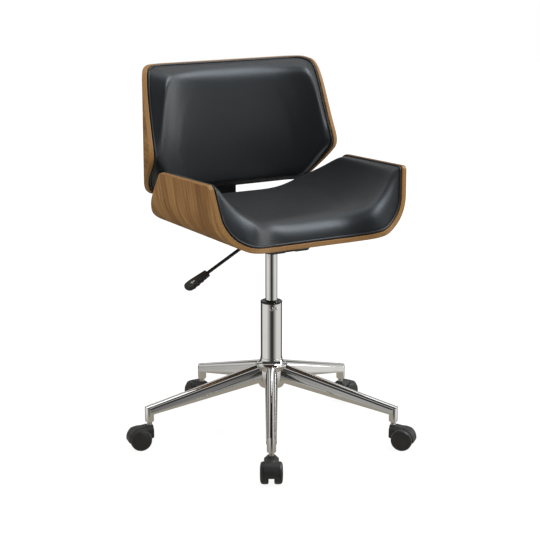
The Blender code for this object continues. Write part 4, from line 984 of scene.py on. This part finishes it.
def combined(operation, mesh, *others):
    for other in others:
        body, tool = inScene("body", mesh), inScene("tool", other)
        modify(body, "BOOLEAN", operation=operation, solver="EXACT", object=tool)
        shape = bmesh.new()
        shape.from_mesh(evaluated(body))
        lifted(body)
        lifted(tool)
        bmesh.ops.remove_doubles(shape, verts=shape.verts, dist=0.000004)
        bmesh.ops.dissolve_degenerate(shape, edges=shape.edges, dist=0.000004)
        mesh = toMesh(shape, "combined")
    return mesh


def placed(mesh, matrix=Matrix()):
    mesh.transform(seatHome @ matrix)
    return mesh


def turnedPiece(name, profile, radius, steps, look, node):
    # A turned part of the column: its profile with soft corners, spun round the axis
    mesh = placed(latheMesh(name, softened(profile, radius, steps), 96))
    addPiece(name, mesh, "base", [look], (node,), angle=50.0)


column = {
    "radius": 0.025, "wall": 0.0022, "bottom": 0.1225, "top": 0.325, "floor": 0.003, "hole": 0.0056,
    "chamfer": 0.001, "gap": 0.0003,
}


def sleevePiece():
    outer, hole, chamfer = column["radius"], column["hole"], column["chamfer"]
    inner = outer - column["wall"]
    low, high, floor = column["bottom"], column["top"], column["bottom"] + column["floor"]
    turnedPiece("sleeve_look", [
        (hole, low), (outer - chamfer, low), (outer, low + chamfer), (outer, high), (inner, high),
        (inner, floor), (hole, floor),
    ], 0.0007, 4, "chrome", "column_sleeve")


bushing = {
    "length": 0.075, "flange": 0.004, "proud": 0.0004, "bore": 0.0143, "chamfer": 0.0012, "groove": 0.0009,
}


def bushingPiece():
    outside = column["radius"] - column["wall"] - column["gap"]
    flange, under = column["radius"] + bushing["proud"], column["top"] + column["gap"]
    top, foot = under + bushing["flange"], column["top"] - bushing["length"]
    bore, chamfer, groove = bushing["bore"], bushing["chamfer"], top - bushing["groove"]
    turnedPiece("bushing_look", [
        (bore, foot), (outside, foot), (outside, under), (flange, under), (flange, top - chamfer),
        (flange - chamfer, top), (bore + 0.0052, top), (bore + 0.0044, groove), (bore + 0.0018, groove),
        (bore + 0.0012, top), (bore, top),
    ], 0.0005, 3, "gloss", "column_bushing")


hub = {
    "radius": 0.031, "bottom": 0.1215, "foot": 0.006, "footChamfer": 0.004, "lip": 0.038, "lipHeight": 0.1765,
    "flare": 0.0145, "edge": 0.0015, "shoulder": 0.192,
}


def hubPiece():
    bore, radius = column["radius"] + column["gap"], hub["radius"]
    low, lip, edge = hub["bottom"], hub["lipHeight"], hub["edge"]
    throat = hub["lip"] - 2.0 * edge - bore
    profile = [(bore, low), (radius - hub["footChamfer"], low), (radius, low + hub["foot"])]
    for a in quarter(10):
        height = lip - hub["flare"] + (hub["flare"] - edge) * sin(a)
        profile.append((radius + (hub["lip"] - radius) * (1.0 - cos(a)), height))
    profile += [(hub["lip"], lip), (hub["lip"] - edge, lip + 0.4 * edge)]
    for a in quarter(10):
        height = lip + (hub["shoulder"] - lip) * (1.0 - cos(a))
        profile.append((bore + 0.4 * edge + throat * (1.0 - sin(a)), height))
    turnedPiece("hub_look", profile + [(bore, hub["shoulder"])], 0.0006, 3, "chrome", "base_hub")


leg = {
    "firstTurn": -120.5, "reach": 0.2965, "rootTop": 0.1785, "rootBottom": 0.1356, "rootWidth": 0.027,
    "tipTop": 0.0995, "tipBottom": 0.079, "tipWidth": 0.0208, "wall": 0.0025, "arch": 1.15, "draft": 0.055,
    "socketBottom": 0.062, "chamfer": 0.0035, "bore": 0.0058, "boreDepth": 0.026, "arcs": 28, "swell": 0.0009,
    "gap": 0.0003,
}


def legEnvelope(start, end, inset, drop):
    # An upside-down U: tall round top, sides that draw out a little towards the open bottom
    tip = leg["reach"] + 0.5 * leg["tipWidth"]
    rims = []
    for x in (start, end):
        t = (x - hub["radius"]) / (tip - hub["radius"])
        ends = [(leg["root" + part], leg["tip" + part]) for part in ("Top", "Bottom", "Width")]
        top, bottom, width = [root + (outer - root) * t for root, outer in ends]
        half = 0.5 * width - inset
        arch = leg["arch"] * half
        foot = half + leg["draft"] * (top - arch - bottom)
        spring = top - inset - arch
        skirt = [(foot, bottom - drop), (foot, bottom)] if drop else [(foot, bottom)]
        for share in (0.2, 0.4, 0.6, 0.8):
            swell = 0.0 if drop else leg["swell"] * sin(pi * share)
            skirt.append((foot + (half - foot) * share + swell, bottom + (spring - bottom) * share))
        turns = [pi * (1.0 - k / leg["arcs"]) for k in range(leg["arcs"] + 1)]
        rim = [(x, -y, z) for y, z in skirt]
        rim += [(x, half * cos(a), spring + arch * sin(a)) for a in turns]
        rims.append(rim + [(x, y, z) for y, z in reversed(skirt)])
    return ringMesh("envelope", rims, ends=True)


def legMesh():
    reach, radius, root = leg["reach"], 0.5 * leg["tipWidth"], 0.8 * hub["radius"]
    low, chamfer, top = leg["socketBottom"], leg["chamfer"], leg["rootTop"]
    atTip = Matrix.Translation((reach, 0.0, 0.0))
    hollow = legEnvelope(root - 0.01, reach - radius - 0.004, leg["wall"], 0.02)
    body = combined("DIFFERENCE", legEnvelope(root, reach, 0.0, 0.0), hollow)
    profile = [(0.0, low), (radius - chamfer, low), (radius, low + chamfer), (radius, top), (0.0, top)]
    boss = latheMesh("boss", profile)
    boss.transform(atTip)
    cap = legEnvelope(reach - 2.0 * radius, reach + 2.0 * radius, -leg["gap"], 0.05)
    body = combined("UNION", body, combined("INTERSECT", boss, cap))
    wide, below, end = leg["bore"], low - 0.01, low + leg["boreDepth"]
    bore = latheMesh("bore", [(0.0, below), (wide, below), (wide, end), (0.0, end)], 32)
    bore.transform(atTip)
    wall, lip, height = hub["radius"] + leg["gap"], hub["lip"] + leg["gap"], hub["lipHeight"]
    profile = [(0.0, 0.10), (wall, 0.10), (wall, height - hub["flare"]), (lip, height - 0.006)]
    profile += [(lip, 0.21), (0.0, 0.21)]
    return combined("DIFFERENCE", body, bore, latheMesh("hubSpace", profile, 96))


def turnOf(k):
    return radians(leg["firstTurn"] + 72.0 * k)


def starPiece():
    host = inScene("leg", legMesh())
    softEdges(host, 0.0006, 40.0, 3, 34.0)
    values = {"Count": 5, "First turn": turnOf(0), "Material": looks["chrome"]}
    star = grown("star", lifted(host), trees["star"], values)
    assigned(inScene("base_star", placed(star)), "base", [f"base_leg_{k + 1}" for k in range(5)])


sleevePiece()
bushingPiece()
hubPiece()
starPiece()
dressed("pressure_tube", "seat", "chrome", 0.0004)
print("stage: column and base")


# Casters

caster = {"wheel": 0.025, "gap": 0.012, "width": 0.051, "trail": 0.024, "bore": 0.0033}


def wheelMesh():
    inner, outer, radius, bore = 0.5 * caster["gap"], 0.5 * caster["width"], caster["wheel"], caster["bore"]
    profile = [
        (0.0, outer), (0.45 * radius, outer - 0.0002), (0.72 * radius, outer - 0.0008),
        (0.76 * radius, outer - 0.0016), (0.80 * radius, outer - 0.0012), (0.92 * radius, outer - 0.0026),
        (radius, outer - 0.0062), (radius, inner + 0.0025), (radius - 0.0025, inner), (bore, inner),
        (bore, outer - 0.004), (0.0, outer - 0.004),
    ]
    return latheMesh("wheel", softened(profile, 0.0018, 5), 80)


for k in range(5):
    body = f"caster_{k + 1}"
    dressed(f"{body}_stem", body, "plated", 0.0002)
    hood = dressed(f"{body}_hood", body, "nylon", 0.0009, 50.0)
    hood.visible_glossy = False
    dressed(f"{body}_axle", body, "plated", 0.0002)
    place = Matrix.Translation((leg["reach"] + caster["trail"], 0.0, caster["wheel"]))
    for side, turn in (("left", 90.0), ("right", -90.0)):
        turned = place @ Matrix.Rotation(radians(turn), 4, "X")
        mesh = placed(wheelMesh(), Matrix.Rotation(turnOf(k), 4, "Z") @ turned)
        name = f"{body}_wheel_{side}"
        wheel = addPiece(name + "_look", mesh, f"{body}_{side}", ["nylon"], (name,), angle=60.0)
        wheel.visible_glossy = False  # keeps black blots out of the polished legs
print("stage: casters")


# Mechanism and lever

lever = {
    "pivot": (-0.05175, 0.0, 0.479), "slope": 28.5, "start": 0.133, "length": 0.063, "neck": 0.019,
    "end": 0.029, "thick": 0.012, "roll": 20.0, "wave": 0.0009, "waves": 5,
}


def gripPoint(t, side, lift):
    # A place on the grip: side and lift are the cosine and sine of the turn round it
    end = max(t - 0.80, 0.0) / 0.20
    width = lever["neck"] + (lever["end"] - lever["neck"]) * min(1.6 * t, 1.0) ** 0.9
    width *= sqrt(max(1.0 - 0.93 * end * end, 0.02))
    thick = lever["thick"] * (1.0 - 0.22 * t) * sqrt(max(1.0 - 0.85 * end ** 4, 0.02))
    y = 0.5 * width * copysign(abs(side) ** 0.7, side)
    z = 0.5 * thick * copysign(abs(lift) ** 0.7, lift)
    if side < -0.3 and 0.25 < t < 0.85:
        y += lever["wave"] * sin(2.0 * pi * lever["waves"] * t)
    return Vector((-lever["start"] - lever["length"] * t, y, z))


arrow = {
    "outline": (
        (-0.5, -0.14), (0.05, -0.14), (0.05, -0.42), (0.5, 0.0), (0.05, 0.42), (0.05, 0.14), (-0.5, 0.14),
    ),
    "middle": 0.66, "length": 0.18, "width": 0.011, "layers": (0.00005, 0.00025),
}


def gripPieces():
    # The moulded grip, and printed on it a plain arrow, up for the seat
    sloping = Matrix.Rotation(radians(-lever["slope"]), 4, "Y")
    rolled = Matrix.Rotation(radians(lever["roll"]), 4, "X")
    home = Matrix.Translation(lever["pivot"]) @ sloping @ rolled
    rings = [[gripPoint(t, cos(a), sin(a)) for a in circle(40)] for t in eased(44)]
    grip = placed(ringMesh("grip", rings, ends=True), home)
    addPiece("lever_grip", grip, "lever", ["nylon"], ("lever_handle",), 0.0006, 45.0)
    rims = []
    for lift in arrow["layers"]:
        spots = [(gripPoint(arrow["middle"] + arrow["length"] * a, 0.0, 1.0), b) for a, b in arrow["outline"]]
        rims.append([(spot.x, arrow["width"] * b, spot.z + lift) for spot, b in spots])
    printed = placed(ringMesh("arrow", rims, ends=True), home)
    addPiece("lever_arrow", printed, "lever", ["print"], angle=30.0)


screw = {
    "radius": 0.0055, "height": 0.0024, "recess": 0.0011, "seat": (0.166, (-0.113, 0.150)),
    "housing": (0.036, (-0.062, 0.062)), "housingLevel": 0.4605,
}


def screwHead():
    # Rounded head with a dished middle
    radius, height = screw["radius"], screw["height"]
    floor = height - screw["recess"]
    head = inScene("screwHead", latheMesh("screwHead", [
        (0.0, -0.0004), (0.96 * radius, -0.0004), (radius, 0.0), (0.97 * radius, 0.45 * height),
        (0.80 * radius, 0.85 * height), (0.55 * radius, height), (0.48 * radius, height),
        (0.44 * radius, floor), (0.0, floor),
    ], 24))
    head.data.shade_smooth()
    head.data.set_sharp_from_angle(angle=radians(40.0))
    return head


def studPiece(name, spots, size, body, look, seed):
    shape = bmesh.new()
    facing = shape.verts.layers.float_vector.new("facing")
    for place, direction in spots:
        corner = shape.verts.new(Vector(place) + Vector((axisX, axisY, 0.0)))
        corner[facing] = direction
    head = screwHead()
    values = {"Head": head, "Size": size, "Seed": seed, "Material": looks[look]}
    result = grown(name, plainMesh(shape, name), trees["stud"], values)
    lifted(head)
    assigned(inScene(name, result), body)


def underSeat(x, y):
    sideways, rise, slope = bendPath(abs(x), seat["bend"])
    out = (copysign(sin(slope), x), 0.0, -cos(slope))
    return (copysign(sideways, x), y, seatLevel + rise), out


pins = {"sleeve_pin_large": (-29.5, 0.86), "sleeve_pin_small": (-1.5, 0.56)}  # turn and size of each
pinLevel = 0.3145

for nodes, body, look, bevel in (
    (("column_socket", "mechanism_housing", "seat_plate", "back_bracket"), "seat", "black", 0.0005),
    ([f"plate_bolt_{k + 1}" for k in range(4)] + ["back_bolt_1", "back_bolt_2"], "seat", "black", 0.0002),
    (["lever_rod"], "lever", "black", 0.0003),
    (["release_pin"], "pin", "plated", 0.0002),
):
    for node in nodes:
        dressed(node, body, look, bevel)
gripPieces()
x, ys = screw["seat"]
studPiece("seat_screws", [underSeat(a, y) for a in (-x, x) for y in ys], 1.0, "seat", "black", 3)
x, ys = screw["housing"]
spots = [((a, y, screw["housingLevel"]), (0.0, 0.0, -1.0)) for a in (-x, x) for y in ys]
studPiece("housing_screws", spots, 0.8, "seat", "black", 5)
for name, (turn, size) in pins.items():
    out = Vector((sin(radians(turn)), -cos(radians(turn)), 0.0))
    place = out * column["radius"] + Vector((0.0, 0.0, pinLevel))
    studPiece(name, [(place, out)], size, "base", "chrome", 7)
for look, nodes in (
    ("plated", ("bearing_lower_race", "bearing_ball_cage", "bearing_upper_race", "rod_clip", "piston_rod")),
    ("rubber", ("piston", "tube_seal")),
):
    for node in nodes:
        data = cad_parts[node].data
        data.materials.clear()
        data.materials.append(looks[look])
print("stage: mechanism and lever")
